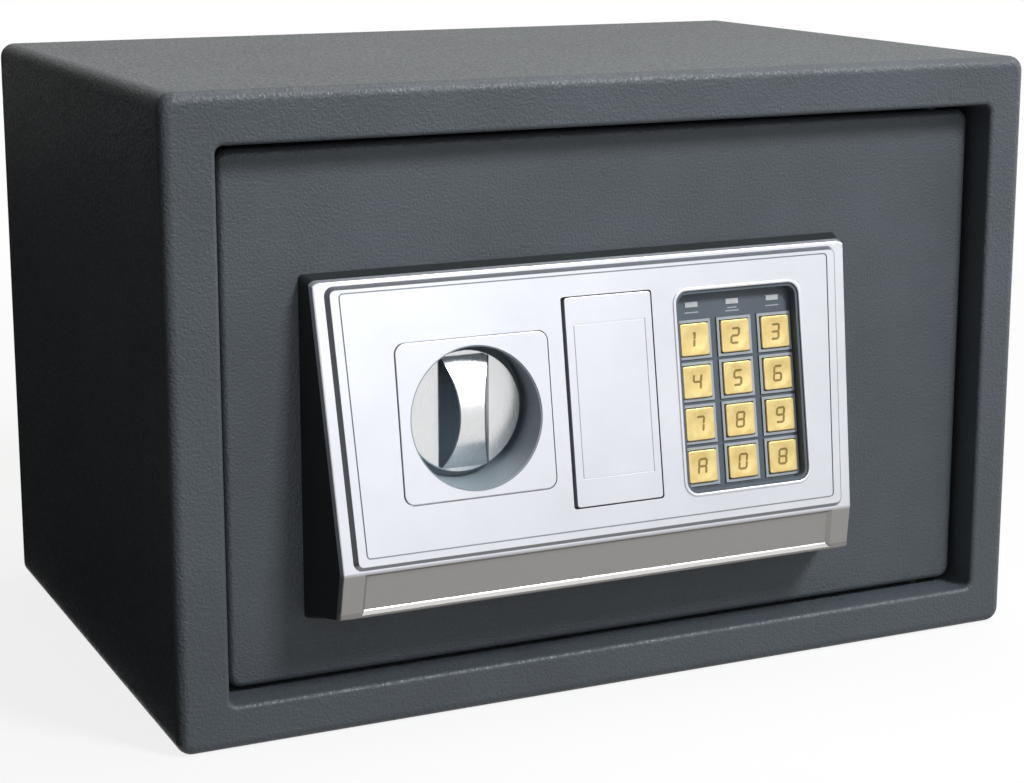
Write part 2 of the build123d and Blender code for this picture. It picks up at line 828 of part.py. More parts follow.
# Drive arm: at rest it leans away from the bolts by half the knob's turn
carriage_y = plate_back_y + carriage_behind_door_plate
half_turn = radians(knob_turn / 2)
arm_radius = bolt_throw / (2 * sin(half_turn))
pin_x = knob_x + arm_radius * sin(half_turn)
pin_z = knob_z + arm_radius * cos(half_turn)
pin_end_y = carriage_y + carriage_thickness + drive_pin_tail
with BuildPart() as drive_arm:
    with BuildSketch(facing_plane(arm_back_y)):
        SlotCenterPoint(
            center=((knob_x + pin_x) / 2, (knob_z + pin_z) / 2),
            point=(pin_x, pin_z),
            height=2 * arm_tip_radius,
        )
        with Locations((knob_x, knob_z)):
            Circle(arm_hub_radius)
            Circle(shaft_radius, mode=Mode.SUBTRACT)
    extrude(amount=arm_thickness)
    with BuildSketch(facing_plane(arm_back_y)):
        with Locations((pin_x, pin_z)):
            Circle(drive_pin_radius)
    extrude(amount=arm_back_y - pin_end_y)
drive_arm.part.label = "drive_arm"
export_step(drive_arm.part, "parts/drive_arm.step")

# Bolt carriage: a T-shaped plate with a flange that carries the bolts
carriage_left = door_left + carriage_left_inset
carriage_height = bolt_spacing + 2 * carriage_flange_margin
tab_top = knob_z + carriage_arm_height / 2 + tab_rise
plunger_x = knob_x + solenoid_from_knob
tab_right = plunger_x - plunger_radius - tab_lock_gap + bolt_throw
arm_right = knob_x + carriage_arm_end
slot_half = drive_pin_radius + drive_pin_slot_clearance
guide_x = carriage_left + stud_from_carriage_left
guide_half = stud_radius + stud_side_clearance
with BuildPart() as bolt_carriage:
    with BuildSketch(facing_plane(carriage_y + carriage_thickness)):
        with Locations((carriage_left + carriage_body_width / 2, bolt_mid_z)):
            RectangleRounded(carriage_body_width, carriage_height, carriage_corner_radius)
        with Locations(((carriage_left + arm_right) / 2, knob_z)):
            RectangleRounded(
                arm_right - carriage_left, carriage_arm_height, carriage_corner_radius
            )
        with Locations((tab_right, tab_top)):
            Rectangle(
                tab_right - arm_right + tab_root, tab_height, align=(Align.MAX, Align.MAX)
            )
        with Locations((pin_x, (pin_z + knob_z + arm_radius) / 2)):
            SlotCenterToCenter(
                knob_z + arm_radius - pin_z, 2 * slot_half, rotation=90, mode=Mode.SUBTRACT
            )
        with Locations((guide_x + bolt_throw / 2, bolt_mid_z)):
            with GridLocations(0, stud_spacing, 1, 2):
                SlotCenterToCenter(bolt_throw, 2 * guide_half, mode=Mode.SUBTRACT)
    extrude(amount=carriage_thickness)
    with BuildSketch(Plane.YZ.offset(carriage_left)):
        with Locations((carriage_y + carriage_flange_depth / 2, bolt_mid_z)):
            Rectangle(carriage_flange_depth, carriage_height - 2 * carriage_corner_radius)
        with Locations((bolt_y, bolt_mid_z)):
            with GridLocations(0, bolt_spacing, 1, 2):
                Circle(spigot_radius, mode=Mode.SUBTRACT)
    extrude(amount=carriage_thickness)
bolt_carriage.part.label = "bolt_carriage"
export_step(bolt_carriage.part, "parts/bolt_carriage.step")

# Two round bolts, riveted through the carriage's flange
bolt_tip_x = door_left + bolt_tip_setback
with BuildPart() as bolts:
    with BuildSketch(Plane.YZ.offset(carriage_left)):
        with Locations((bolt_y, bolt_mid_z)):
            with GridLocations(0, bolt_spacing, 1, 2):
                Circle(bolt_radius)
    extrude(amount=bolt_tip_x - carriage_left)
    chamfer(bolts.edges().group_by(Axis.X)[0], bolt_nose_chamfer)
    with BuildSketch(Plane.YZ.offset(carriage_left)):
        with Locations((bolt_y, bolt_mid_z)):
            with GridLocations(0, bolt_spacing, 1, 2):
                Circle(spigot_radius)
    extrude(amount=carriage_thickness)
    with BuildSketch(Plane.YZ.offset(carriage_left + carriage_thickness)):
        with Locations((bolt_y, bolt_mid_z)):
            with GridLocations(0, bolt_spacing, 1, 2):
                Circle(spigot_head_radius)
    extrude(amount=spigot_head_height)
bolts.part.label = "bolts"
export_step(bolts.part, "parts/bolts.step")

# Shouldered studs that guide the carriage's slots
stud_shoulder_y = carriage_y - stud_end_clearance
stud_head_y = carriage_y + carriage_thickness + stud_end_clearance
with BuildPart() as guide_studs:
    with BuildSketch(facing_plane(plate_back_y)):
        with Locations((guide_x, bolt_mid_z)):
            with GridLocations(0, stud_spacing, 1, 2):
                Circle(stud_shoulder_radius)
    extrude(amount=plate_back_y - stud_shoulder_y)
    with BuildSketch(facing_plane(stud_shoulder_y)):
        with Locations((guide_x, bolt_mid_z)):
            with GridLocations(0, stud_spacing, 1, 2):
                Circle(stud_radius)
    extrude(amount=stud_shoulder_y - stud_head_y)
    with BuildSketch(facing_plane(stud_head_y)):
        with Locations((guide_x, bolt_mid_z)):
            with GridLocations(0, stud_spacing, 1, 2):
                Circle(stud_head_radius)
    extrude(amount=-stud_head_height)
guide_studs.part.label = "guide_studs"
export_step(guide_studs.part, "parts/guide_studs.step")

# Solenoid over the carriage's tab, which its plunger blocks once the bolts are out
plunger_y = carriage_y + carriage_thickness / 2
solenoid_bottom = tab_top + solenoid_from_tab
solenoid_top = solenoid_bottom + solenoid_height
coil_height = solenoid_height - 2 * solenoid_frame_thickness
with BuildPart() as solenoid_frame:
    with BuildSketch(Plane.XY.offset(solenoid_bottom)):
        with Locations((plunger_x, plate_back_y + solenoid_depth / 2)):
            Rectangle(solenoid_width, solenoid_depth)
    extrude(amount=solenoid_height)
    with BuildSketch(Plane.XY.offset(solenoid_bottom + solenoid_frame_thickness)):
        with Locations((plunger_x, plate_back_y + solenoid_frame_thickness + solenoid_depth / 2)):
            Rectangle(solenoid_width, solenoid_depth)
    extrude(amount=coil_height, mode=Mode.SUBTRACT)
    with BuildSketch(Plane.XY.offset(solenoid_bottom)):
        with Locations((plunger_x, plunger_y)):
            Circle(plunger_radius + plunger_clearance)
    extrude(amount=solenoid_frame_thickness, mode=Mode.SUBTRACT)
solenoid_frame.part.label = "solenoid_frame"
export_step(solenoid_frame.part, "parts/solenoid_frame.step")

with BuildPart() as solenoid_coil:
    with BuildSketch(Plane.XY.offset(solenoid_bottom + solenoid_frame_thickness)):
        with Locations((plunger_x, plunger_y)):
            Circle(solenoid_coil_radius)
            Circle(plunger_radius + plunger_clearance, mode=Mode.SUBTRACT)
    extrude(amount=coil_height)
solenoid_coil.part.label = "solenoid_coil"
export_step(solenoid_coil.part, "parts/solenoid_coil.step")

# Plunger with the collar that the emergency lock's cam lifts
plunger_tip_z = tab_top + plunger_tip_gap
collar_z = plunger_tip_z + plunger_collar_from_tip
with BuildPart() as solenoid_plunger:
    with BuildSketch(Plane.XY.offset(plunger_tip_z)):
        with Locations((plunger_x, plunger_y)):
            Circle(plunger_radius)
    extrude(amount=solenoid_bottom + plunger_insertion - plunger_tip_z)
    with BuildSketch(Plane.XY.offset(collar_z)):
        with Locations((plunger_x, plunger_y)):
            Circle(plunger_collar_radius)
    extrude(amount=plunger_collar_height)
solenoid_plunger.part.label = "solenoid_plunger"
export_step(solenoid_plunger.part, "parts/solenoid_plunger.step")

# Emergency lock: a barrel through the console and the door plate, with its nut
lock_front_y = (
    depth_on_slope(lock_below_top)
    - (face_plate_height - cover_pocket_depth) * cos(slope_angle)
    - lock_front_proud
)
lock_rear_y = plate_back_y + lock_rear_from_door_plate
with BuildPart() as lock_barrel:
    with BuildSketch(facing_plane(lock_rear_y)):
        with Locations((lock_x, lock_z)):
            Circle(lock_radius)
            Circle(lock_plug_radius + lock_plug_clearance, mode=Mode.SUBTRACT)
    extrude(amount=lock_rear_y - lock_front_y)
lock_barrel.part.label = "lock_barrel"
export_step(lock_barrel.part, "parts/lock_barrel.step")

with BuildPart() as lock_nut:
    with BuildSketch(facing_plane(plate_back_y)):
        with Locations((lock_x, lock_z)):
            RegularPolygon(lock_nut_radius, 6, major_radius=False)
            Circle(lock_radius, mode=Mode.SUBTRACT)
    extrude(amount=-lock_nut_height)
lock_nut.part.label = "lock_nut"
export_step(lock_nut.part, "parts/lock_nut.step")

# Plug with its keyway, and the cam on its rear end
cam_front_y = lock_rear_y + cam_gap
cam_back_y = cam_front_y + cam_thickness
with BuildPart() as lock_plug:
    with BuildSketch(facing_plane(cam_front_y)):
        with Locations((lock_x, lock_z)):
            Circle(lock_plug_radius)
    extrude(amount=cam_front_y - lock_front_y)
    with BuildSketch(facing_plane(lock_front_y)):
        with Locations((lock_x, lock_z)):
            Rectangle(keyway_width, keyway_height)
    extrude(amount=-keyway_depth, mode=Mode.SUBTRACT)
lock_plug.part.label = "lock_plug"
export_step(lock_plug.part, "parts/lock_plug.step")

cam_tip_x = lock_x - cam_length * cos(radians(cam_rest_angle))
cam_tip_z = lock_z - cam_length * sin(radians(cam_rest_angle))
with BuildPart() as lock_cam:
    with BuildSketch(facing_plane(cam_back_y)):
        SlotCenterPoint(
            center=((lock_x + cam_tip_x) / 2, (lock_z + cam_tip_z) / 2),
            point=(cam_tip_x, cam_tip_z),
            height=cam_width,
        )
        with Locations((lock_x, lock_z)):
            Circle(cam_hub_radius)
    extrude(amount=cam_thickness)
lock_cam.part.label = "lock_cam"
export_step(lock_cam.part, "parts/lock_cam.step")

# Removable cover: a tray whose skirt stands in the pocket, with a fine label outline
cover_skirt_depth = cover_pocket_depth - cover_thickness - cover_floor_gap
with BuildPart() as key_cover:
    with BuildSketch(slope_plane.offset(face_plate_height)):
        with Locations((cover_mid_x, -cover_mid_v)):
            RectangleRounded(cover_width, cover_height, cover_corner_radius)
    extrude(amount=-cover_thickness - cover_skirt_depth)
    cover_face = key_cover.faces().sort_by(slope_axis)[-1]
    fillet(cover_face.edges(), cover_edge_radius)
    with BuildSketch(slope_plane.offset(face_plate_height - cover_thickness)):
        with Locations((cover_mid_x, -cover_mid_v)):
            Rectangle(cover_width - 2 * cover_skirt, cover_height - 2 * cover_skirt)
    extrude(amount=-cover_skirt_depth, mode=Mode.SUBTRACT)
    with BuildSketch(slope_plane.offset(face_plate_height)):
        with Locations((cover_mid_x, -cover_below_top - label_below_cover_top - label_height / 2)):
            Rectangle(label_width, label_height)
            Rectangle(
                label_width - 2 * label_line_width,
                label_height - 2 * label_line_width,
                mode=Mode.SUBTRACT,
            )
    extrude(amount=-label_line_depth, mode=Mode.SUBTRACT)
key_cover.part.label = "key_cover"
export_step(key_cover.part, "parts/key_cover.step")

# Keypad tray: dark floor and walls, with a raised frame round each key's hole
key_columns = [keypad_x - key_spacing_x, keypad_x, keypad_x + key_spacing_x]
key_rows = [first_key_row_below_top + row * key_spacing_z for row in range(4)]
key_points = [(x, -v) for v in key_rows for x in key_columns]
key_hole_size = key_size + 2 * key_hole_clearance
key_frame_size = key_hole_size + 2 * key_frame_width
light_points = [(x, -light_below_top) for x in key_columns]
with BuildPart() as keypad_tray:
    with BuildSketch(slope_plane.offset(membrane_offset)):
        draw_keypad_outline(keypad_fit)
        draw_keypad_outline(keypad_fit + keypad_tray_wall, mode=Mode.SUBTRACT)
    extrude(amount=face_plate_height - tray_rim_drop - membrane_offset)
    with BuildSketch(slope_plane.offset(tray_under_offset)):
        draw_keypad_outline(keypad_fit)
    extrude(amount=keypad_floor_thickness)
    with BuildSketch(slope_plane.offset(tray_floor_offset)):
        with Locations(*key_points):
            Rectangle(key_frame_size, key_frame_size)
    extrude(amount=key_frame_height)
    with BuildSketch(slope_plane.offset(tray_under_offset)):
        with Locations(*key_points):
            Rectangle(key_hole_size, key_hole_size)
    extrude(amount=keypad_floor_thickness + key_frame_height, mode=Mode.SUBTRACT)
    with BuildSketch(slope_plane.offset(tray_floor_offset - light_sink)):
        with Locations(*light_points):
            Rectangle(light_width, light_height)
    extrude(amount=light_sink, mode=Mode.SUBTRACT)
keypad_tray.part.label = "keypad_tray"
export_step(keypad_tray.part, "parts/keypad_tray.step")

# Three light windows let into the tray's floor
with BuildPart() as light_windows:
    with BuildSketch(slope_plane.offset(tray_floor_offset - light_sink)):
        with Locations(*light_points):
            Rectangle(light_width, light_height)
    extrude(amount=light_sink + light_rise)
light_windows.part.label = "light_windows"
export_step(light_windows.part, "parts/light_windows.step")

# Twelve keys, each a crowned cap with a retaining flange under the tray's floor
key_names = ["1", "2", "3", "4", "5", "6", "7", "8", "9", "a", "0", "b"]
key_cap_height = key_rise + keypad_floor_thickness + key_flange_gap
key_flange_size = key_size + 2 * key_flange_margin
for key_name, key_point in zip(key_names, key_points):
    with BuildPart() as key:
        with BuildSketch(slope_plane.offset(key_flange_offset)):
            with Locations(key_point):
                RectangleRounded(key_size, key_size, key_corner_radius)
        extrude(amount=key_cap_height)
        cap_edges = key.faces().sort_by(slope_axis)[-1].edges()
        fillet(cap_edges, key_crown_radius)
        with BuildSketch(slope_plane.offset(key_flange_offset)):
            with Locations(key_point):
                Rectangle(key_flange_size, key_flange_size)
        extrude(amount=-key_flange_thickness)
    key.part.label = "key_" + key_name
    export_step(key.part, "parts/key_" + key_name + ".step")

# Rubber membrane and circuit board under the keys
with BuildPart() as key_membrane:
    with BuildSketch(slope_plane.offset(board_offset)):
        draw_keypad_outline(board_clearance)
    extrude(amount=membrane_thickness)
key_membrane.part.label = "key_membrane"
export_step(key_membrane.part, "parts/key_membrane.step")

with BuildPart() as circuit_board:
    with BuildSketch(slope_plane.offset(board_back_offset)):
        draw_keypad_outline(board_clearance)
    extrude(amount=circuit_board_thickness)
circuit_board.part.label = "circuit_board"
export_step(circuit_board.part, "parts/circuit_board.step")

# Inner cover: a shallow pan over the bolt work, with a window for the battery box
liner_left = door_left + door_thickness + liner_side_clearance
liner_right = pivot_x - liner_from_pivot
liner_bottom = door_bottom + door_thickness + liner_side_clearance
liner_top = door_top - door_thickness - liner_side_clearance
liner_width = liner_right - liner_left
liner_height = liner_top - liner_bottom
liner_mid_x = (liner_left + liner_right) / 2
liner_mid_z = (liner_bottom + liner_top) / 2
liner_back_y = plate_back_y + liner_depth
liner_inner_y = liner_back_y - liner_thickness
tray_inner_width = cell_length + cell_button_length + cell_end_clearance
tray_inner_height = (cell_count - 1) * cell_spacing + 2 * cell_radius + 2 * cell_side_clearance
box_width = tray_inner_width + 2 * battery_wall
box_height = tray_inner_height + 2 * battery_wall
box_right = liner_right - battery_from_liner_right
box_mid_x = box_right - box_width / 2
box_mid_z = liner_bottom + battery_from_liner_bottom + box_height / 2
reset_x = liner_right - reset_from_liner_right
reset_z = liner_top - reset_from_liner_top
post_spacing_x = liner_width - 2 * post_inset
post_spacing_z = liner_height - 2 * post_inset
with BuildPart() as door_liner:
    with BuildSketch(facing_plane(plate_back_y)):
        with Locations((liner_mid_x, liner_mid_z)):
            RectangleRounded(liner_width, liner_height, liner_corner_radius)
    extrude(amount=-liner_depth)
    fillet(door_liner.faces().sort_by(Axis.Y)[-1].edges(), liner_bend_radius)
    with BuildSketch(facing_plane(plate_back_y)):
        with Locations((liner_mid_x, liner_mid_z)):
            RectangleRounded(
                liner_width - 2 * liner_thickness,
                liner_height - 2 * liner_thickness,
                liner_corner_radius - liner_thickness,
            )
    extrude(amount=liner_thickness - liner_depth, mode=Mode.SUBTRACT)
    with BuildSketch(Plane.YZ.offset(liner_left)):
        with Locations((bolt_y, bolt_mid_z)):
            with GridLocations(0, bolt_spacing, 1, 2):
                Circle(bolt_radius + bolt_guide_clearance)
    extrude(amount=liner_thickness, mode=Mode.SUBTRACT)
    with BuildSketch(facing_plane(liner_back_y)):
        with Locations((box_mid_x, box_mid_z)):
            Rectangle(
                box_width + 2 * battery_window_clearance,
                box_height + 2 * battery_window_clearance,
            )
        with Locations((reset_x, reset_z)):
            Circle(reset_radius + reset_hole_clearance)
    extrude(amount=liner_thickness, mode=Mode.SUBTRACT)
door_liner.part.label = "door_liner"
export_step(door_liner.part, "parts/door_liner.step")

# Posts on the door plate that the inner cover is screwed to
with BuildPart() as liner_posts:
    with BuildSketch(facing_plane(plate_back_y)):
        with Locations((liner_mid_x, liner_mid_z)):
            with GridLocations(post_spacing_x, post_spacing_z, 2, 2):
                Circle(post_radius)
    extrude(amount=plate_back_y - liner_inner_y)
liner_posts.part.label = "liner_posts"
export_step(liner_posts.part, "parts/liner_posts.step")

with BuildPart() as liner_screws:
    with BuildSketch(facing_plane(liner_back_y)):
        with Locations((liner_mid_x, liner_mid_z)):
            with GridLocations(post_spacing_x, post_spacing_z, 2, 2):
                Circle(liner_screw_head_radius)
    extrude(amount=-liner_screw_head_height)
    chamfer(liner_screws.edges().group_by(Axis.Y)[-1], liner_screw_head_height / 2)
liner_screws.part.label = "liner_screws"
export_step(liner_screws.part, "parts/liner_screws.step")

# Battery box: an open tray whose flange lies on the inner cover
flange_back_y = liner_back_y + battery_flange_thickness
tray_floor_y = liner_back_y - 2 * cell_radius - battery_wall - battery_cover_skirt_depth
with BuildPart() as battery_box:
    with BuildSketch(facing_plane(tray_floor_y)):
        with Locations((box_mid_x, box_mid_z)):
            Rectangle(box_width, box_height)
    extrude(amount=tray_floor_y - flange_back_y)
    with BuildSketch(facing_plane(liner_back_y)):
        with Locations((box_mid_x, box_mid_z)):
            RectangleRounded(
                box_width + 2 * battery_flange_margin,
                box_height + 2 * battery_flange_margin,
                battery_corner_radius,
            )
    extrude(amount=-battery_flange_thickness)
    with BuildSketch(facing_plane(tray_floor_y + battery_wall)):
        with Locations((box_mid_x, box_mid_z)):
            Rectangle(tray_inner_width, tray_inner_height)
    extrude(amount=tray_floor_y + battery_wall - flange_back_y, mode=Mode.SUBTRACT)
battery_box.part.label = "battery_box"
export_step(battery_box.part, "parts/battery_box.step")

# Four cells lying across the box, each with its raised contact
cell_y = tray_floor_y + battery_wall + cell_radius
cell_left = box_mid_x - tray_inner_width / 2 + cell_end_clearance / 2
with BuildPart() as battery_cells:
    with BuildSketch(Plane.YZ.offset(cell_left)):
        with Locations((cell_y, box_mid_z)):
            with GridLocations(0, cell_spacing, 1, cell_count):
                Circle(cell_radius)
    extrude(amount=cell_length)
    with BuildSketch(Plane.YZ.offset(cell_left + cell_length)):
        with Locations((cell_y, box_mid_z)):
            with GridLocations(0, cell_spacing, 1, cell_count):
                Circle(cell_button_radius)
    extrude(amount=cell_button_length)
battery_cells.part.label = "battery_cells"
export_step(battery_cells.part, "parts/battery_cells.step")

# Battery cover: lies on the flange, with a skirt inside the box and a finger notch
skirt_width = tray_inner_width - 2 * battery_cover_skirt_clearance
skirt_height = tray_inner_height - 2 * battery_cover_skirt_clearance
battery_cover_width = box_width + 2 * battery_cover_margin
battery_cover_height = box_height + 2 * battery_cover_margin
with BuildPart() as battery_cover:
    with BuildSketch(facing_plane(flange_back_y)):
        with Locations((box_mid_x, box_mid_z)):
            RectangleRounded(battery_cover_width, battery_cover_height, battery_corner_radius)
    extrude(amount=-battery_cover_thickness)
    with BuildSketch(facing_plane(flange_back_y)):
        with Locations((box_mid_x, box_mid_z)):
            Rectangle(skirt_width, skirt_height)
            Rectangle(
                skirt_width - 2 * battery_wall, skirt_height - 2 * battery_wall,
                mode=Mode.SUBTRACT,
            )
    extrude(amount=battery_cover_skirt_depth)
    with BuildSketch(facing_plane(flange_back_y)):
        with Locations((box_mid_x + battery_cover_width / 2, box_mid_z)):
            Circle(battery_cover_notch_radius)
    extrude(amount=-battery_cover_thickness, mode=Mode.SUBTRACT)
battery_cover.part.label = "battery_cover"
export_step(battery_cover.part, "parts/battery_cover.step")

# Reset button in the inner cover, and the switch behind it
reset_flange_y = liner_inner_y - reset_flange_gap
reset_stem_y = reset_flange_y - reset_flange_thickness - reset_stem_length
with BuildPart() as reset_button:
    with BuildSketch(facing_plane(reset_flange_y)):
        with Locations((reset_x, reset_z)):
            Circle(reset_radius)
    extrude(amount=reset_flange_y - liner_back_y - reset_proud)
    with BuildSketch(facing_plane(reset_flange_y)):
        with Locations((reset_x, reset_z)):
            Circle(reset_flange_radius)
    extrude(amount=reset_flange_thickness)
    with BuildSketch(facing_plane(reset_stem_y)):
        with Locations((reset_x, reset_z)):
            Circle(reset_stem_radius)
    extrude(amount=-reset_stem_length)
reset_button.part.label = "reset_button"
export_step(reset_button.part, "parts/reset_button.step")

reset_switch_y = reset_stem_y - reset_travel - reset_switch_gap
with BuildPart() as reset_switch:
    with BuildSketch(facing_plane(plate_back_y)):
        with Locations((reset_x, reset_z)):
            Rectangle(reset_switch_size, reset_switch_size)
    extrude(amount=plate_back_y - reset_switch_y)
reset_switch.part.label = "reset_switch"
export_step(reset_switch.part, "parts/reset_switch.step")
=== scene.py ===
# %% [markdown]
# # A small electronic safe
#
# The safe is a folded steel box with a powder coat, a door set back in its front, and a wedge of
# silver-painted plastic on the door that carries a knob, a loose cover and a keypad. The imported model
# already holds every piece at its real size. This lesson gives each one its finish, and adds the small
# forms that live on the surface: dished key caps, the signs printed on them, and the frames and marks
# on the keypad's tray.

# %% Load the frame
import json
from math import atan2, copysign, degrees, hypot, radians

import bmesh
import bpy
from mathutils import Matrix, Vector


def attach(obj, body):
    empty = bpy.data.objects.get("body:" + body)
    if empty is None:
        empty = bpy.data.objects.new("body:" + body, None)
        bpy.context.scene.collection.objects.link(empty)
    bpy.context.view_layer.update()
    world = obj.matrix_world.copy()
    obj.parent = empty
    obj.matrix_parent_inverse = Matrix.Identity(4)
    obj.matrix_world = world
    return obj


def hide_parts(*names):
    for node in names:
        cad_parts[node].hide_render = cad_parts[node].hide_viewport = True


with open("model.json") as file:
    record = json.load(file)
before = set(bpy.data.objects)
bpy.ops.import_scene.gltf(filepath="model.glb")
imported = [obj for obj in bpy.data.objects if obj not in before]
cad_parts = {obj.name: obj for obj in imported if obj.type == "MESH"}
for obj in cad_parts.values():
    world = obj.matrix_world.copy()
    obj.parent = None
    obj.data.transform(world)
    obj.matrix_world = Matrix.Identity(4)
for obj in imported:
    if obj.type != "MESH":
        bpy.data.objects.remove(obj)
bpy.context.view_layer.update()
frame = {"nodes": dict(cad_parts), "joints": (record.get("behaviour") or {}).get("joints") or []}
nodes = frame["nodes"]

# %% [markdown]
# ## Sizes and directions
#
# All lengths are in metres here, so a value named in millimetres is multiplied by `mm`. The console's
# front leans back, and the keys travel square to it. The joint of one key therefore tells which way the
# sloping front faces, and everything printed or pressed on that front is placed with three directions:
# along it, up it and out of it.

# %% Directions on the sloping front
mm = 0.001
joints = {joint["name"]: joint for joint in frame["joints"]}
slope_out = -Vector(joints["key_1_press"]["axis"])
slope_along = Vector((1, 0, 0))
slope_up = slope_out.cross(slope_along)
slope_axes = Matrix((slope_along, slope_up, slope_out)).transposed()


def corners_of(points):
    """Lowest and highest corner of the box round some points."""
    low = Vector([min(point[i] for point in points) for i in range(3)])
    high = Vector([max(point[i] for point in points) for i in range(3)])
    return low, high


def plain_box(node):
    """Lowest and highest corner of a node, measured along X, Y and Z."""
    return corners_of([vertex.co for vertex in nodes[node].data.vertices])


def slope_box(node):
    """Lowest and highest corner of a node, measured along, up and out of the slope."""
    return corners_of([slope_axes.transposed() @ vertex.co for vertex in nodes[node].data.vertices])


def slope_place(along, up, out):
    """Matrix that lays a mesh, drawn flat and facing +Z, on the sloping front."""
    return Matrix.Translation(slope_axes @ Vector((along, up, out))) @ slope_axes.to_4x4()


print("slope leans", round(degrees(slope_out.angle(Vector((0, -1, 0)))), 2), "degrees")

# %% [markdown]
# ## Colour and shader nodes
#
# Colours are picked as the eye sees them, in sRGB hex, while the shaders count light, so one function
# turns the first into the second. A second function adds any shader node with its settings and its
# links, which keeps each finish below down to the few lines that make it what it is.

# %% Helpers for colours and nodes


def srgb(code):
    """Linear colour, with full alpha, of an sRGB hex code such as #4A5054."""
    channels = [int(code[i:i + 2], 16) / 255 for i in (1, 3, 5)]
    return [c / 12.92 if c <= 0.04045 else ((c + 0.055) / 1.055) ** 2.4 for c in channels] + [1.0]


def add_node(material, kind, settings=None, links=None):
    """Add a shader node, set its properties and sockets, and link sources to its sockets."""
    node = material.node_tree.nodes.new(kind)
    for name, value in (settings or {}).items():
        if isinstance(name, str) and hasattr(node, name):
            setattr(node, name, value)
        else:
            node.inputs[name].default_value = value
    for socket, source in (links or {}).items():
        material.node_tree.links.new(source, node.inputs[socket])
    return node


print("the middle grey #808080 counts", round(srgb("#808080")[0], 3), "in light")

# %% [markdown]
# ## What every finish shares
#
# No real surface is one flat colour. Paint and plating drift by a shade over millimetres or
# centimetres, and under that lies a fine grain that lets some spots shine more than others and bends
# the light a little. So each finish has two tones that a broad noise blends, and one fine noise that
# drives both the roughness and a bump of a real depth. Noise seldom leaves its middle four tenths, so
# only those are read. Both noises use Object coordinates, so a pattern keeps its size in millimetres and
# stays on its piece when the piece moves.

# %% Build a finish
noise_low, noise_high = 0.3, 0.7


def finish(name, tones, patch, sheen, grain, depth, metallic=0.0, stretch=(1, 1, 1), **sockets):
    """A finish whose colour drifts between two tones over patches, with a fine grain in its relief.

    tones are two hex colours, sheen is the lowest and highest roughness, and patch, grain and depth
    are real sizes in millimetres. Other sockets of the shader are given by name.
    """
    material = bpy.data.materials.new(name)
    material.use_nodes = True
    shader = material.node_tree.nodes["Principled BSDF"]
    shader.inputs["Metallic"].default_value = metallic
    for socket, value in sockets.items():
        shader.inputs[socket.replace("_", " ").title().replace("Ior", "IOR")].default_value = value
    place = add_node(material, "ShaderNodeTexCoord").outputs["Object"]
    stretched = add_node(material, "ShaderNodeMapping", {"Scale": stretch}, {"Vector": place})
    drift = add_node(
        material,
        "ShaderNodeTexNoise",
        {"Scale": 1 / (patch * mm), "Detail": 4.0, "Roughness": 0.6},
        {"Vector": place},
    )
    spread = add_node(
        material,
        "ShaderNodeMapRange",
        {"From Min": noise_low, "From Max": noise_high},
        {"Value": drift.outputs["Fac"]},
    )
    colour = add_node(
        material,
        "ShaderNodeMix",
        {"data_type": "RGBA", 6: srgb(tones[0]), 7: srgb(tones[1])},
        {0: spread.outputs["Result"]},
    )
    fine = add_node(
        material,
        "ShaderNodeTexNoise",
        {"Scale": 1 / (grain * mm), "Detail": 2.0},
        {"Vector": stretched.outputs["Vector"]},
    )
    rough = add_node(
        material,
        "ShaderNodeMapRange",
        {"From Min": noise_low, "From Max": noise_high, "To Min": sheen[0], "To Max": sheen[1]},
        {"Value": fine.outputs["Fac"]},
    )
    relief = add_node(
        material,
        "ShaderNodeBump",
        {"Distance": depth * mm, "Strength": 1.0},
        {"Height": fine.outputs["Fac"]},
    )
    links = material.node_tree.links
    links.new(colour.outputs[2], shader.inputs["Base Color"])
    links.new(rough.outputs["Result"], shader.inputs["Roughness"])
    links.new(relief.outputs["Normal"], shader.inputs["Normal"])
    return material


def dress(material, *names):
    """Give CAD nodes a finish."""
    for name in names:
        nodes[name].data.materials.clear()
        nodes[name].data.materials.append(material)
    print(material.name, "on", ", ".join(names))


print("noise is read from", noise_low, "to", noise_high)

# %% [markdown]
# ## Where a finish changes on one piece
#
# Some pieces have two finishes in one moulding: a groove that is greyer than the plate, a lip that is
# duller than the face above it. The mesh could be split there, but a CAD node's mesh stays as it is.
# So the shader measures where it is, such as its height or its distance out of the slope, and blends
# to the second colour between two such measures.

# %% Measure a place and change a finish there


def axes_of(material):
    """The X, Y and Z of the point that is shaded, as the node's own outputs."""
    place = add_node(material, "ShaderNodeTexCoord").outputs["Object"]
    return add_node(material, "ShaderNodeSeparateXYZ", None, {"Vector": place}).outputs


def change_where(material, value, start, end, code, roughness=None):
    """Turn a finish to another colour, and roughness, as a measure goes from start to end."""
    shader = material.node_tree.nodes["Principled BSDF"]
    links = material.node_tree.links
    mask = add_node(
        material, "ShaderNodeMapRange", {"From Min": start, "From Max": end}, {"Value": value}
    ).outputs["Result"]
    base = shader.inputs["Base Color"]
    colour = add_node(
        material,
        "ShaderNodeMix",
        {"data_type": "RGBA", 7: srgb(code)},
        {0: mask, 6: base.links[0].from_socket},
    )
    links.new(colour.outputs[2], base)
    if roughness is None:
        return
    sheen = shader.inputs["Roughness"]
    rough = add_node(
        material,
        "ShaderNodeMix",
        {"data_type": "FLOAT", 3: roughness},
        {0: mask, 2: sheen.links[0].from_socket},
    )
    links.new(rough.outputs[0], sheen)


print("nodes that wait for a finish", len(nodes))

# %% [markdown]
# ## Powder coat on the steel box and door
#
# The box is sprayed with an anthracite polyester powder and baked. As the powder melts it draws into a
# fine leathery grain about a millimetre across, which breaks the light along every folded edge into
# specks. The grain could be modelled, but it is only about a tenth of a millimetre deep, so a bump does
# it. The noise uses four tenths of the bump's range, which is why the range is nearly three times that
# depth. The roughness goes up and down with the bump, so that some grains shine.

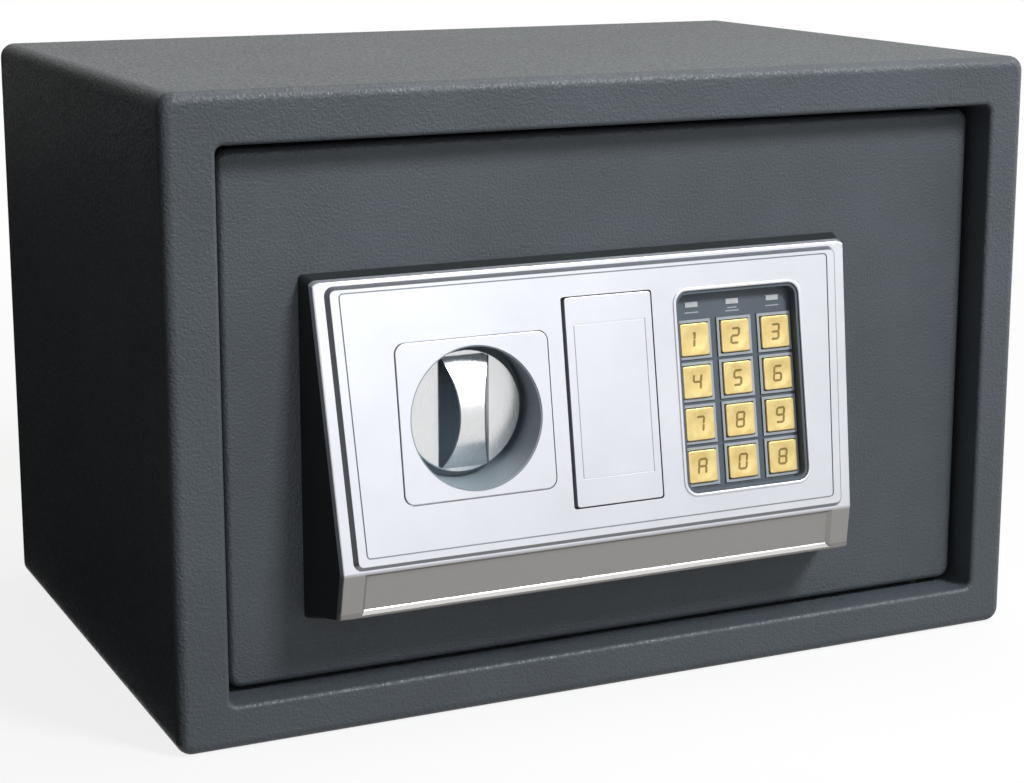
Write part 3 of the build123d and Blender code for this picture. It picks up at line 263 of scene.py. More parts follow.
# %% Powder coat
# Baked polyester powder: a dull dark grey with a leathery grain and small sparks on the bends.
powder_coat = finish(
    "powder_coat_anthracite",
    tones=("#494E53", "#51575C"),
    patch=45.0,
    sheen=(0.28, 0.66),
    grain=0.85,
    depth=0.29,
    specular_ior_level=0.38,
)
dress(powder_coat, "body_wrap", "door_jamb", "door_pan", "door_stops")

# %% [markdown]
# ## The seam round the back panel
#
# The back panel is set into the folded wrap and welded. The coat runs over the joint and sinks into it,
# which leaves a fine dark line all round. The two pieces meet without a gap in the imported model, so the
# line is made in the finish, from the distance to the panel's nearest edge.

# %% Powder coat with a seam
seam_width = 0.45 * mm
seam_core = 0.4 * seam_width
panel_low, panel_high = plain_box("back_panel")
# The same coat, with a dark hairline that shows where two sheets meet.
seamed_coat = powder_coat.copy()
seamed_coat.name = "powder_coat_with_welded_seam"
axes = axes_of(seamed_coat)
edge_distances = [
    add_node(
        seamed_coat, "ShaderNodeMath", {"operation": "SUBTRACT", 1: panel_low[0]}, {0: axes["X"]}
    ),
    add_node(
        seamed_coat, "ShaderNodeMath", {"operation": "SUBTRACT", 0: panel_high[0]}, {1: axes["X"]}
    ),
    add_node(
        seamed_coat, "ShaderNodeMath", {"operation": "SUBTRACT", 1: panel_low[2]}, {0: axes["Z"]}
    ),
    add_node(
        seamed_coat, "ShaderNodeMath", {"operation": "SUBTRACT", 0: panel_high[2]}, {1: axes["Z"]}
    ),
]
nearest = edge_distances[0].outputs[0]
for distance in edge_distances[1:]:
    nearest = add_node(
        seamed_coat, "ShaderNodeMath", {"operation": "MINIMUM"}, {0: nearest, 1: distance.outputs[0]}
    ).outputs[0]
change_where(seamed_coat, nearest, seam_width, seam_core, "#191C1E")
dress(seamed_coat, "back_panel")

# %% [markdown]
# ## Paint on the inner cover
#
# The cover inside the door is a thin pressed sheet with an ordinary sprayed paint. It has no leather
# grain, only the slight orange peel that wet paint leaves, whose waves are a few millimetres long and
# very shallow, and it shines a little more than the box.

# %% Smooth grey paint
# Sprayed enamel: a smooth mid grey with a soft sheen and a faint orange peel.
liner_paint = finish(
    "smooth_grey_paint",
    tones=("#474B4E", "#505558"),
    patch=60.0,
    sheen=(0.32, 0.42),
    grain=2.4,
    depth=0.05,
)
dress(liner_paint, "door_liner")

# %% [markdown]
# ## Felt on the floor
#
# Needle felt is a mat of loose black fibres. At this size single fibres don't show, only a dull and
# slightly lighter fuzz. Hair would be heavy for so little, so the finish has almost no shine, a sheen
# at grazing angles, and a grain of half a millimetre, coarser than the fibres so that it shows.

# %% Felt
# Polyester needle felt: black, dead matt, with a pale bloom where it's seen along its surface.
felt = finish(
    "needle_felt_black",
    tones=("#17181A", "#232426"),
    patch=9.0,
    sheen=(0.92, 1.0),
    grain=0.5,
    depth=0.25,
    sheen_weight=0.4,
    sheen_roughness=0.5,
)
dress(felt, "floor_mat")

# %% [markdown]
# ## Zinc plate on the bolt work
#
# Bolts, brackets and screws are mild steel with a bright zinc plate. The bath leaves it a little blue
# and clouded in patches of some millimetres. It's a full metal, whose colour is that of its reflection,
# and the grain is the fine satin of a barrel-plated part, drawn coarser than it is.

# %% Zinc plate
# Barrel-plated zinc on steel: light cool grey, half bright, with a cloudy shimmer.
zinc = finish(
    "zinc_plated_steel",
    tones=("#A9ADB0", "#C6CACD"),
    patch=6.0,
    sheen=(0.26, 0.42),
    grain=0.6,
    depth=0.01,
    metallic=1.0,
)
dress(
    zinc,
    "hinge_blocks", "console_screws", "guide_studs", "liner_posts", "liner_screws",
    "bolt_carriage", "bolts", "drive_arm", "knob_shaft", "solenoid_frame", "solenoid_plunger",
    "lock_cam", "lock_nut",
)

# %% [markdown]
# ## Blackened steel and brass
#
# The hinge pins are steel blackened in a hot salt bath, which keeps the metal's reflection but takes
# most of its light. The key lock is turned from brass bar, so its grain is the fine trace of the tool.

# %% Blackened steel and brass
# Hot-blackened steel: nearly black, with a weak metallic glint.
blackened_steel = finish(
    "blackened_steel",
    tones=("#2B2D2F", "#36393B"),
    patch=5.0,
    sheen=(0.35, 0.5),
    grain=0.5,
    depth=0.01,
    metallic=1.0,
)
dress(blackened_steel, "hinge_pins")
# Turned brass: warm yellow, bright, with fine tool marks drawn coarse enough to show.
brass = finish(
    "machined_brass",
    tones=("#C49A4E", "#D9B365"),
    patch=4.0,
    sheen=(0.22, 0.34),
    grain=0.4,
    depth=0.008,
    metallic=1.0,
)
dress(brass, "lock_barrel", "lock_plug")

# %% [markdown]
# ## Satin chrome on the knob
#
# The knob is a zinc casting under satin chrome, brushed lengthwise. One could bake the brush lines into a
# picture, but a noise stretched twenty times along the grip gives the same fine streaks at any distance.
# The steep flanks of the grip are painted dark grey, a painted reflection that stands in for the dark
# surroundings they mirror. They are found by geometry: a flank leans in as it rises off the disc, so the
# distance from the middle plane plus a share of the rise is the same all over it.

# %% Satin chrome
# Brushed satin chrome: near white metal with long soft streaks.
satin_chrome = finish(
    "satin_chrome",
    tones=("#EFF0F1", "#F6F7F7"),
    patch=12.0,
    sheen=(0.2, 0.28),
    grain=0.35,
    depth=0.0015,
    metallic=0.92,
    stretch=(1, 1, 0.05),
)
knob_low, knob_high = plain_box("knob")
knob_x = (knob_low[0] + knob_high[0]) / 2
knob_z = (knob_low[2] + knob_high[2]) / 2
grip_half_width = 8.65 * mm
grip_rise = 7.2 * mm
grip_draw_in = 4.35 * mm
grip_taper = grip_draw_in / grip_rise
disc_y = knob_low[1] + grip_rise
flank_from, flank_to = grip_half_width - 0.5 * mm, grip_half_width - 0.2 * mm
foot_from, foot_to = 0.05 * mm, 0.4 * mm
axes = axes_of(satin_chrome)
aside = add_node(
    satin_chrome, "ShaderNodeMath", {"operation": "SUBTRACT", 1: knob_x}, {0: axes["X"]}
)
reach = add_node(satin_chrome, "ShaderNodeMath", {"operation": "ABSOLUTE"}, {0: aside.outputs[0]})
rise = add_node(
    satin_chrome, "ShaderNodeMath", {"operation": "SUBTRACT", 0: disc_y}, {1: axes["Y"]}
)
lean = add_node(
    satin_chrome,
    "ShaderNodeMath",
    {"operation": "MULTIPLY_ADD", 1: grip_taper},
    {0: rise.outputs[0], 2: reach.outputs[0]},
)
on_flank = add_node(
    satin_chrome,
    "ShaderNodeMapRange",
    {"From Min": flank_from, "From Max": flank_to},
    {"Value": lean.outputs[0]},
)
off_disc = add_node(
    satin_chrome,
    "ShaderNodeMapRange",
    {"From Min": foot_from, "From Max": foot_to},
    {"Value": rise.outputs[0]},
)
flank = add_node(
    satin_chrome,
    "ShaderNodeMath",
    {"operation": "MULTIPLY"},
    {0: on_flank.outputs["Result"], 1: off_disc.outputs["Result"]},
)
# Painted reflection: the grip's steep flanks turn dark grey, standing in for the dark surroundings they
# mirror.
change_where(satin_chrome, flank.outputs[0], 0.0, 1.0, "#6A7077")
dress(satin_chrome, "knob")
print("knob's axis at", round(knob_x, 4), round(knob_z, 4))

# %% [markdown]
# ## Black ABS
#
# The console's housing and the battery box are injection moulded in black ABS. The mould is eroded by
# sparks, which prints a fine matt texture on the plastic. Its pits are finer than a render this size
# can show, so the grain is drawn at a third of a millimetre.

# %% Black ABS
# Spark-textured ABS: soft black with a broad dull highlight.
black_abs = finish(
    "black_abs_textured",
    tones=("#191E20", "#1F2527"),
    patch=20.0,
    sheen=(0.38, 0.5),
    grain=0.3,
    depth=0.02,
)
dress(black_abs, "battery_box", "battery_cover", "reset_switch")

# %% [markdown]
# ## The slate well round the knob
#
# The knob stands in a round well of the housing, and inside that well the housing turns slate grey. The
# rest of the housing stays black. The finish measures how far a point is from the knob's axis, by taking
# the depth out of the vector and its length, and turns grey inside the well's radius.

# %% Black ABS with a slate well
well_reach = 22.4 * mm
well_blend = 0.2 * mm
# The same black ABS, turning mid grey inside the well.
housing_abs = black_abs.copy()
housing_abs.name = "black_abs_with_slate_well"
place = add_node(housing_abs, "ShaderNodeTexCoord")
from_axis = add_node(
    housing_abs,
    "ShaderNodeVectorMath",
    {"operation": "SUBTRACT", 1: (knob_x, 0, knob_z)},
    {0: place.outputs["Object"]},
)
across = add_node(
    housing_abs,
    "ShaderNodeVectorMath",
    {"operation": "MULTIPLY", 1: (1, 0, 1)},
    {0: from_axis.outputs["Vector"]},
)
reach = add_node(
    housing_abs, "ShaderNodeVectorMath", {"operation": "LENGTH"}, {0: across.outputs["Vector"]}
)
change_where(
    housing_abs, reach.outputs["Value"], well_reach, well_reach - well_blend, "#8C979E"
)
dress(housing_abs, "console_base")

# %% [markdown]
# ## Silver lacquer
#
# The console's front pieces are ABS under a silver lacquer: aluminium flakes in a clear binder. It
# glows white where it faces the light and turns grey where it faces away, more softly than solid metal
# does. A surface that is three quarters metal behaves so, without any flakes to draw.

# %% Silver lacquer
# Flake lacquer on ABS: bright silver white, satin, with a cool tinge.
silver_lacquer = finish(
    "silver_lacquer_on_abs",
    tones=("#D5D6DC", "#DDDEE4"),
    patch=30.0,
    sheen=(0.28, 0.36),
    grain=0.25,
    depth=0.004,
    metallic=0.75,
)
dress(silver_lacquer, "knob_escutcheon", "key_cover")

# %% [markdown]
# ## Grooves in the face plate
#
# The plate's fine lines are cut a fraction of a millimetre deep. They are painted grey, a painted shade
# that stands in for the shade falling into them. The loose cover lies flush with the plate, so its top
# tells how far out the plate's face is, and everything just below that is greyed.

# %% Silver lacquer, grey in its grooves
plate_top = slope_box("key_cover")[1].z
grey_from, grey_to = plate_top - 0.03 * mm, plate_top - 0.15 * mm
# The same lacquer, with a painted shade of mid grey in every cut line.
plate_lacquer = silver_lacquer.copy()
plate_lacquer.name = "silver_lacquer_painted_shade_in_grooves"
place = add_node(plate_lacquer, "ShaderNodeTexCoord")
out_of_slope = add_node(
    plate_lacquer,
    "ShaderNodeVectorMath",
    {"operation": "DOT_PRODUCT", 1: slope_out},
    {0: place.outputs["Object"]},
)
change_where(plate_lacquer, out_of_slope.outputs["Value"], grey_from, grey_to, "#8F9297")
dress(plate_lacquer, "face_plate")

# %% [markdown]
# ## The console's chin
#
# Below the plate the front bends back to the door. This chin faces the floor and is painted a warm mid
# grey, a painted shade that stands in for the darker floor it mirrors. The lip along its lower edge gets
# a darker painted shade that tones down its highlight, and a higher roughness. Both changes follow the
# height above the floor.

# %% Silver lacquer, with painted shade below the bend
bend_height = plain_box("face_plate")[0].z - 0.6 * mm
lip_height = plain_box("console_front")[0].z + 2.6 * mm
bend_blend = 1.0 * mm
lip_blend = 0.3 * mm
# The same lacquer, with a painted warm grey shade on the chin, and a darker painted shade and more
# roughness on the lip.
painted_shade_lacquer = silver_lacquer.copy()
painted_shade_lacquer.name = "silver_lacquer_painted_shade_below_the_bend"
height = axes_of(painted_shade_lacquer)["Z"]
# Painted shade: the chin turns warm grey, standing in for the dark floor it mirrors.
change_where(painted_shade_lacquer, height, bend_height, bend_height - bend_blend, "#A19E9B")
# Painted shade: the lip turns a darker grey, which tones down its highlight; its roughness rises too.
change_where(
    painted_shade_lacquer, height, lip_height, lip_height - lip_blend, "#8F8C89", roughness=0.58
)
dress(painted_shade_lacquer, "console_front")

# %% [markdown]
# ## Keypad plastics
#
# The keypad's tray is slate-grey ABS from a matt mould, the little windows over its lights are milky
# acrylic that lets some light through, and the membrane behind the keys is silicone rubber, which is
# matt and slightly greasy to the eye.

# %% Keypad tray, windows and membrane
# Moulded ABS: matt slate grey.
slate_abs = finish(
    "slate_abs",
    tones=("#4C555C", "#56606A"),
    patch=14.0,
    sheen=(0.4, 0.5),
    grain=0.25,
    depth=0.01,
)
dress(slate_abs, "keypad_tray")
# Opal acrylic: pale, glossy and a little translucent.
milky_acrylic = finish(
    "milky_acrylic",
    tones=("#C9CDCF", "#DDE0E1"),
    patch=3.0,
    sheen=(0.15, 0.25),
    grain=0.4,
    depth=0.004,
    transmission_weight=0.2,
    ior=1.49,
)
dress(milky_acrylic, "light_windows")
# Silicone rubber: soft mid grey with a wide weak highlight.
silicone = finish(
    "silicone_rubber",
    tones=("#6E7173", "#7B7E80"),
    patch=8.0,
    sheen=(0.6, 0.75),
    grain=0.3,
    depth=0.01,
)
dress(silicone, "key_membrane")

# %% [markdown]
# ## Parts inside the door
#
# Behind the inner cover sit a fibreglass board under green solder resist, a coil wrapped in amber tape,
# four cells in plain blue jackets and a red moulded reset button. They show only when a cover is off,
# but each still gets the finish of its own material.

# %% Board, coil, cells and reset button
# Solder resist on fibreglass: deep green, glossy, slightly uneven.
solder_resist = finish(
    "green_solder_resist",
    tones=("#1C5A34", "#246A3F"),
    patch=5.0,
    sheen=(0.25, 0.35),
    grain=0.5,
    depth=0.01,
)
dress(solder_resist, "circuit_board")
# Polyimide tape round a coil: clear amber with the turns showing as fine bands.
amber_tape = finish(
    "amber_polyimide_tape",
    tones=("#A8701E", "#BD8530"),
    patch=5.0,
    sheen=(0.25, 0.4),
    grain=0.5,
    depth=0.03,
    stretch=(0.1, 0.1, 1),
)
dress(amber_tape, "solenoid_coil")
# Printed shrink film: plain dark blue, smooth and shiny.
cell_jacket = finish(
    "printed_cell_jacket",
    tones=("#2D3B57", "#34456A"),
    patch=12.0,
    sheen=(0.2, 0.3),
    grain=0.5,
    depth=0.003,
)
dress(cell_jacket, "battery_cells")
# Polished ABS: signal red with a small bright highlight.
red_abs = finish(
    "red_abs",
    tones=("#A81D1A", "#B92420"),
    patch=4.0,
    sheen=(0.25, 0.35),
    grain=0.3,
    depth=0.006,
)
dress(red_abs, "reset_button")

# %% [markdown]
# ## The shape of a key cap
#
# Each key is a small square cap of gold-lacquered plastic with almost sharp corners, a thin rounded edge
# and a shallow round dish that guides the fingertip. A bevelled cube would give the corners but no dish.
# So the cap starts as a fine grid, whose points are drawn in at the corners and pressed down in the
# middle by two small rules.

# %% Rules for the corners and the dish
cap_size = 10.4 * mm
cap_corner = 0.7 * mm
dish_radius = 4.3 * mm
dish_depth = 0.32 * mm


def round_corner(x, y, half, radius):
    """Pull a point of a square in to the round of its nearest corner."""
    over_x, over_y = abs(x) - (half - radius), abs(y) - (half - radius)
    if over_x <= 0 or over_y <= 0:
        return x, y
    pull = max(over_x, over_y) / hypot(over_x, over_y)
    new_x = half - radius + over_x * pull
    new_y = half - radius + over_y * pull
    return copysign(new_x, x), copysign(new_y, y)


def dish_height(x, y):
    """Height of a cap's top at a point, zero outside its dish."""
    return -dish_depth * (1 - min(1.0, hypot(x, y) / dish_radius) ** 2)


print("dish is", round(dish_depth / mm, 2), "mm deep in a cap of", round(cap_size / mm, 1), "mm")

# %% [markdown]
# ## The walls and edge of a key cap
#
# The cap is a thin shell in one moulding, and its edge catches a bright line of light all round. The
# rim of the grid is pulled down into walls, and the sharp loop between top and walls is bevelled in three
# steps, which is the least that still looks round here.

# %% Build one key cap
cap_edge = 0.3 * mm
cap_depth = 2.2 * mm
cap_cells = 26
edge_steps = 3


def key_cap_mesh():
    """A cap with its rim at height zero, drawn flat and facing +Z."""
    bm = bmesh.new()
    bmesh.ops.create_grid(bm, x_segments=cap_cells, y_segments=cap_cells, size=cap_size / 2)
    for vertex in bm.verts:
        x, y = round_corner(vertex.co.x, vertex.co.y, cap_size / 2, cap_corner)
        vertex.co = (x, y, dish_height(x, y))
    rim = [edge for edge in bm.edges if edge.is_boundary]
    walls = bmesh.ops.extrude_edge_only(bm, edges=rim)["geom"]
    lowered = [item for item in walls if isinstance(item, bmesh.types.BMVert)]
    bmesh.ops.translate(bm, vec=(0, 0, -cap_depth), verts=lowered)
    bmesh.ops.recalc_face_normals(bm, faces=bm.faces)
    bmesh.ops.bevel(
        bm, geom=rim, offset=cap_edge, segments=edge_steps, profile=0.5, affect="EDGES", material=-1
    )
    bmesh.ops.holes_fill(bm, edges=[edge for edge in bm.edges if edge.is_boundary])
    return bm


trial = key_cap_mesh()
print("faces in one cap", len(trial.faces))
trial.free()

# %% [markdown]
# ## Gold caps on the keys
#
# A gold lacquer is spread over the moulded caps. It is a metallic paint and not a plating, so it is only
# half a metal and keeps its colour in the shade. Each cap takes the place of the plain key in the packed
# model, sits exactly on that key's top and moves with it.

# %% Put a cap on every key
# Gold lacquer on ABS: pale warm gold with a soft bright edge and a shaded dish.
gold_lacquer = finish(
    "gold_lacquer_on_abs",
    tones=("#E3C57C", "#F1DA98"),
    patch=3.5,
    sheen=(0.28, 0.38),
    grain=0.3,
    depth=0.006,
    metallic=0.45,
)


def finish_mesh(bm, name, material, body, smooth=True):
    """Turn a bmesh into an object with a finish that moves with a body."""
    bmesh.ops.recalc_face_normals(bm, faces=bm.faces)
    mesh = bpy.data.meshes.new(name)
    bm.to_mesh(mesh)
    bm.free()
    mesh.materials.append(material)
    for polygon in mesh.polygons:
        polygon.use_smooth = smooth
    piece = bpy.data.objects.new(name, mesh)
    bpy.context.scene.collection.objects.link(piece)
    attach(piece, body)
    return piece


key_names = ["1", "2", "3", "4", "5", "6", "7", "8", "9", "a", "0", "b"]
key_tops = {}
for name in key_names:
    low, high = slope_box("key_" + name)
    along, up = (low.x + high.x) / 2, (low.y + high.y) / 2
    key_tops[name] = (along, up, high.z)
    cap = key_cap_mesh()
    bmesh.ops.transform(cap, matrix=slope_place(along, up, high.z), verts=cap.verts)
    piece = finish_mesh(cap, "cap_" + name, gold_lacquer, "key_" + name)
    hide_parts("key_" + name)
print("caps", len(key_tops))

# %% [markdown]
# ## Signs made of bars
#
# The caps carry plain digits and the letters A and B in the bar style of a pocket calculator. A font
# would bring its own outlines, while a few bars are enough here and can be listed by their places.

# %% Places of the bars and the signs they make
bar_half_width = 1.35 * mm
bar_half_height = 2.35 * mm
w, h = bar_half_width, bar_half_height
bar_places = {
    "top": ((-w, h), (w, h)),
    "middle": ((-w, 0), (w, 0)),
    "bottom": ((-w, -h), (w, -h)),
    "upper left": ((-w, 0), (-w, h)),
    "upper right": ((w, 0), (w, h)),
    "lower left": ((-w, -h), (-w, 0)),
    "lower right": ((w, -h), (w, 0)),
    "centre upper": ((0, 0), (0, h)),
    "centre lower": ((0, -h), (0, 0)),
    "flag": ((-0.6 * w, 0.7 * h), (0, h)),
}
left = ["upper left", "lower left"]
right = ["upper right", "lower right"]
signs = {
    "0": ["top", "bottom"] + left + right,
    "1": ["centre upper", "centre lower", "flag"],
    "2": ["top", "upper right", "middle", "lower left", "bottom"],
    "3": ["top", "middle", "bottom"] + right,
    "4": ["upper left", "middle"] + right,
    "5": ["top", "upper left", "middle", "lower right", "bottom"],
    "6": ["top", "middle", "bottom", "lower right"] + left,
    "7": ["top"] + right,
    "8": ["top", "middle", "bottom"] + left + right,
    "9": ["top", "upper left", "middle", "bottom"] + right,
    "a": ["top", "middle"] + left + right,
    "b": ["top", "middle", "bottom"] + left + right,
}
print("signs", len(signs))

# %% [markdown]
# ## One printed bar
#
# Pad print is a thin raised film of ink. A bar is drawn flat with its ends cut to a blunt point, as on a
# display, then raised by the ink's thickness and turned to its place. A picture on the cap could show
# the same, but a bar of real ink keeps a sharp edge from close up.

# %% Draw one bar
bar_gap = 0.12 * mm
tip_half_width = 0.15
tip_length = 0.35


def raise_faces(bm, faces, height):
    """Give flat faces a thickness, and return the corners that were raised."""
    walls = bmesh.ops.extrude_face_region(bm, geom=faces)["geom"]
    risen = [item for item in walls if isinstance(item, bmesh.types.BMVert)]
    bmesh.ops.translate(bm, vec=(0, 0, height), verts=risen)
    return risen


def add_bar(bm, start, end, stroke, height):
    """Add one flat bar between two points, with its ends drawn in as on a display."""
    start, end = Vector(start), Vector(end)
    tip = ((end - start).length - bar_gap) / 2
    shoulder = tip - tip_length * stroke
    blunt = tip_half_width * stroke
    outline = [
        (-tip, -blunt),
        (-shoulder, -stroke / 2),
        (shoulder, -stroke / 2),
        (tip, -blunt),
        (tip, blunt),
        (shoulder, stroke / 2),
        (-shoulder, stroke / 2),
        (-tip, blunt),
    ]
    corners = [bm.verts.new((x, y, 0)) for x, y in outline]
    risen = raise_faces(bm, [bm.faces.new(corners)], height)
    along = end - start
    middle = (start + end) / 2
    turn = Matrix.Rotation(atan2(along.y, along.x), 4, "Z")
    place = Matrix.Translation((middle.x, middle.y, 0)) @ turn
    bmesh.ops.transform(bm, matrix=place, verts=corners + risen)


print("bars in all signs", sum(len(bars) for bars in signs.values()))

# %% [markdown]
# ## Digits on the caps
#
# The print is olive and leans slightly to the right. It follows the dish, because the soft pad that
# carries the ink presses right down into it, so every corner of a bar sinks by the dish's own rule.

# %% Print the digits
bar_stroke = 0.72 * mm
print_height = 0.06 * mm
sign_lean = 0.12
# Pad ink: flat dull olive that lets the gold round it look brighter.
digit_ink = finish(
    "olive_pad_print",
    tones=("#86702F", "#957E3C"),
    patch=2.0,
    sheen=(0.45, 0.55),
    grain=0.2,
    depth=0.004,
)
shear = Matrix.Identity(4)
shear[0][1] = sign_lean
for name in key_names:
    sign = bmesh.new()
    for bar in signs[name]:
        start, end = bar_places[bar]
        add_bar(sign, start, end, bar_stroke, print_height)
    bmesh.ops.transform(sign, matrix=shear, verts=sign.verts)
    for vertex in sign.verts:
        vertex.co.z += dish_height(vertex.co.x, vertex.co.y)
    bmesh.ops.transform(sign, matrix=slope_place(*key_tops[name]), verts=sign.verts)
    finish_mesh(sign, "sign_" + name, digit_ink, "key_" + name, smooth=False)
print("signs printed", len(key_names))

# %% [markdown]
# ## Frames round the keys
#
# A light grey frame is printed round every key, on the low rim that the tray has there. It is a square
# ring: a square face with one inset, whose middle is taken out. All twelve become one thin piece, since
# they are one print. The film is drawn a few hundredths of a millimetre thicker than real ink, so that
# it shows.

# %% Print the frames
frame_outer = 12.7 * mm
frame_inner = 10.9 * mm
frame_print = 0.08 * mm
frame_rise = 0.45 * mm
window_stand = 0.25 * mm
light_low, light_high = slope_box("light_windows")
tray_floor = light_high.z - window_stand
# Screen ink: even light grey, slightly satin, which makes the gold keys stand apart.
frame_ink = finish(
    "light_grey_print",
    tones=("#9EA4A8", "#A9AFB3"),
    patch=6.0,
    sheen=(0.4, 0.5),
    grain=0.25,
    depth=0.004,
)


def stamp(onto, small, matrix):
    """Add a small bmesh to a larger one at a place, and free it."""
    bmesh.ops.transform(small, matrix=matrix, verts=small.verts)
    mesh = bpy.data.meshes.new("stamp")
    small.to_mesh(mesh)
    small.free()
    onto.from_mesh(mesh)
    bpy.data.meshes.remove(mesh)


frames = bmesh.new()
for name in key_names:
    along, up, out = key_tops[name]
    ring = bmesh.new()
    bmesh.ops.create_grid(ring, x_segments=1, y_segments=1, size=frame_outer / 2)
    bmesh.ops.inset_region(
        ring,
        faces=list(ring.faces),
        thickness=(frame_outer - frame_inner) / 2,
        use_boundary=True,
        use_even_offset=True,
    )
    middle = min(ring.faces, key=lambda face: face.calc_center_median().length)
    bmesh.ops.delete(ring, geom=[middle], context="FACES")
    raise_faces(ring, list(ring.faces), frame_print)
    stamp(frames, ring, slope_place(along, up, tray_floor + frame_rise))
print("faces in the frames", len(frames.faces))
finish_mesh(frames, "key_frames", frame_ink, "door", smooth=False)

# %% [markdown]
# ## Marks under the lights
#
# A short plain bar stands under each light, and two under the middle one, so that the three can be told
# apart. They are the same print as the frames, and the same bar as in the digits, only thinner.

# %% Print the marks
mark_stroke = 0.4 * mm
mark_half_length = 2.6 * mm
short_mark = 0.7
mark_drop = 1.7 * mm
mark_step = 1.0 * mm
marks_in_column = {"1": 1, "2": 2, "3": 1}
marks = bmesh.new()
for name, count in marks_in_column.items():
    for row in range(count):
        mark = bmesh.new()
        reach = mark_half_length * (1 if row == count - 1 else short_mark)
        add_bar(mark, (-reach, 0), (reach, 0), mark_stroke, frame_print)
        drop = mark_drop + (row - (count - 1) / 2) * mark_step
        stamp(marks, mark, slope_place(key_tops[name][0], light_low.y - drop, tray_floor))
print("faces in the marks", len(marks.faces))
finish_mesh(marks, "light_marks", frame_ink, "door", smooth=False)

# %% [markdown]
# ## A white surround
#
# The safe stands in an all-white studio. If the surround lit it as brightly as it looks, the dark coat
# would lose its depth. So the world is fully white for rays that the eye can follow, straight ones and
# those mirrored or let through by a surface, and dim for the rest, which leaves the modelling to the
# lamps.

# %% Surround
fill_strength = 0.16
seen_strength = 1.0
scene = bpy.context.scene
scene.view_settings.view_transform = "Standard"
world = bpy.data.worlds.new("studio")
scene.world = world
world.use_nodes = True
background = world.node_tree.nodes["Background"]
rays = add_node(world, "ShaderNodeLightPath").outputs
either = add_node(
    world,
    "ShaderNodeMath",
    {"operation": "MAXIMUM"},
    {0: rays["Is Camera Ray"], 1: rays["Is Glossy Ray"]},
)
followed = add_node(
    world,
    "ShaderNodeMath",
    {"operation": "MAXIMUM"},
    {0: either.outputs[0], 1: rays["Is Transmission Ray"]},
)
level = add_node(
    world,
    "ShaderNodeMapRange",
    {"To Min": fill_strength, "To Max": seen_strength},
    {"Value": followed.outputs[0]},
)
world.node_tree.links.new(level.outputs["Result"], background.inputs["Strength"])
print("the surround lights with", fill_strength, "and shows", seen_strength)

# %% [markdown]
# ## A warmer wall behind
#
# Behind the safe the studio is a little darker and warmer. The camera looks along the top of the box at
# a low angle, so the coat mirrors that wall there and turns a deeper, warmer grey. Only mirrored rays see
# it, so the wall in the picture stays white. The shade grows with how far a ray points to the back, and
# has no edge that could show in a reflection.

# %% Back wall in reflections
wall_tone = (0.74, 0.73, 0.69, 1)
full_shade_at = 0.6
direction = add_node(world, "ShaderNodeTexCoord").outputs["Generated"]
heading = add_node(world, "ShaderNodeSeparateXYZ", None, {"Vector": direction})
backward = add_node(
    world, "ShaderNodeMapRange", {"From Max": full_shade_at}, {"Value": heading.outputs["Y"]}
)
shade = add_node(
    world,
    "ShaderNodeMath",
    {"operation": "MULTIPLY"},
    {0: backward.outputs["Result"], 1: rays["Is Glossy Ray"]},
)
walls = add_node(
    world,
    "ShaderNodeMix",
    {"data_type": "RGBA", 6: (1, 1, 1, 1), 7: wall_tone},
    {0: shade.outputs[0]},
)
world.node_tree.links.new(walls.outputs[2], background.inputs["Color"])
print("the back wall's red share is", wall_tone[0])

# %% [markdown]
# ## A white floor
#
# The floor is white paper that fades into the surround without a line. Lit paper alone would need to be
# burnt out all over, which drowns the soft shadow under the box. So it is paper and glow in shares: for
# the camera the glow takes 0.84 near the box, where the rest can show a shadow, and all of it a metre
# away. Mirrored rays see three quarters of the glow, and the paper bounces little light back, as if
# it were far below.

# %% Floor
floor_half = 6.0
near, far = 0.3, 1.0
near_glow, far_glow = 0.84, 1.0
mirrored_glow = 0.75
bounce_paper = (0.15, 0.15, 0.15, 1)
seen_paper = (0.85, 0.85, 0.85, 1)
# Matt white paper that shines by itself toward the camera, so its edge can't be told from the wall.
floor_paint = bpy.data.materials.new("white_floor")
floor_paint.use_nodes = True
floor_shader = floor_paint.node_tree.nodes["Principled BSDF"]
floor_shader.inputs["Roughness"].default_value = 0.9
floor_shader.inputs["Specular IOR Level"].default_value = 0.1
path = add_node(floor_paint, "ShaderNodeLightPath").outputs
place = add_node(floor_paint, "ShaderNodeTexCoord").outputs["Object"]
paper = add_node(
    floor_paint,
    "ShaderNodeMix",
    {"data_type": "RGBA", 6: bounce_paper, 7: seen_paper},
    {0: path["Is Camera Ray"]},
)
floor_paint.node_tree.links.new(paper.outputs[2], floor_shader.inputs["Base Color"])
away = add_node(floor_paint, "ShaderNodeVectorMath", {"operation": "LENGTH"}, {0: place})
camera_share = add_node(
    floor_paint,
    "ShaderNodeMapRange",
    {"From Min": near, "From Max": far, "To Min": near_glow, "To Max": far_glow},
    {"Value": away.outputs["Value"]},
)
mirror_share = add_node(
    floor_paint,
    "ShaderNodeMath",
    {"operation": "MULTIPLY", 1: mirrored_glow},
    {0: path["Is Glossy Ray"]},
)
share = add_node(
    floor_paint,
    "ShaderNodeMath",
    {"operation": "MULTIPLY_ADD"},
    {0: path["Is Camera Ray"], 1: camera_share.outputs["Result"], 2: mirror_share.outputs[0]},
)
glow = add_node(floor_paint, "ShaderNodeEmission", {"Color": (1, 1, 1, 1), "Strength": 1.0})


def show(material, share, first, second):
    """Let a material show its first shader, and its second one by a share from 0 to 1."""
    mixed = add_node(
        material, "ShaderNodeMixShader", None, {0: share, 1: first.outputs[0], 2: second.outputs[0]}
    )
    surface = material.node_tree.nodes["Material Output"].inputs["Surface"]
    material.node_tree.links.new(mixed.outputs[0], surface)


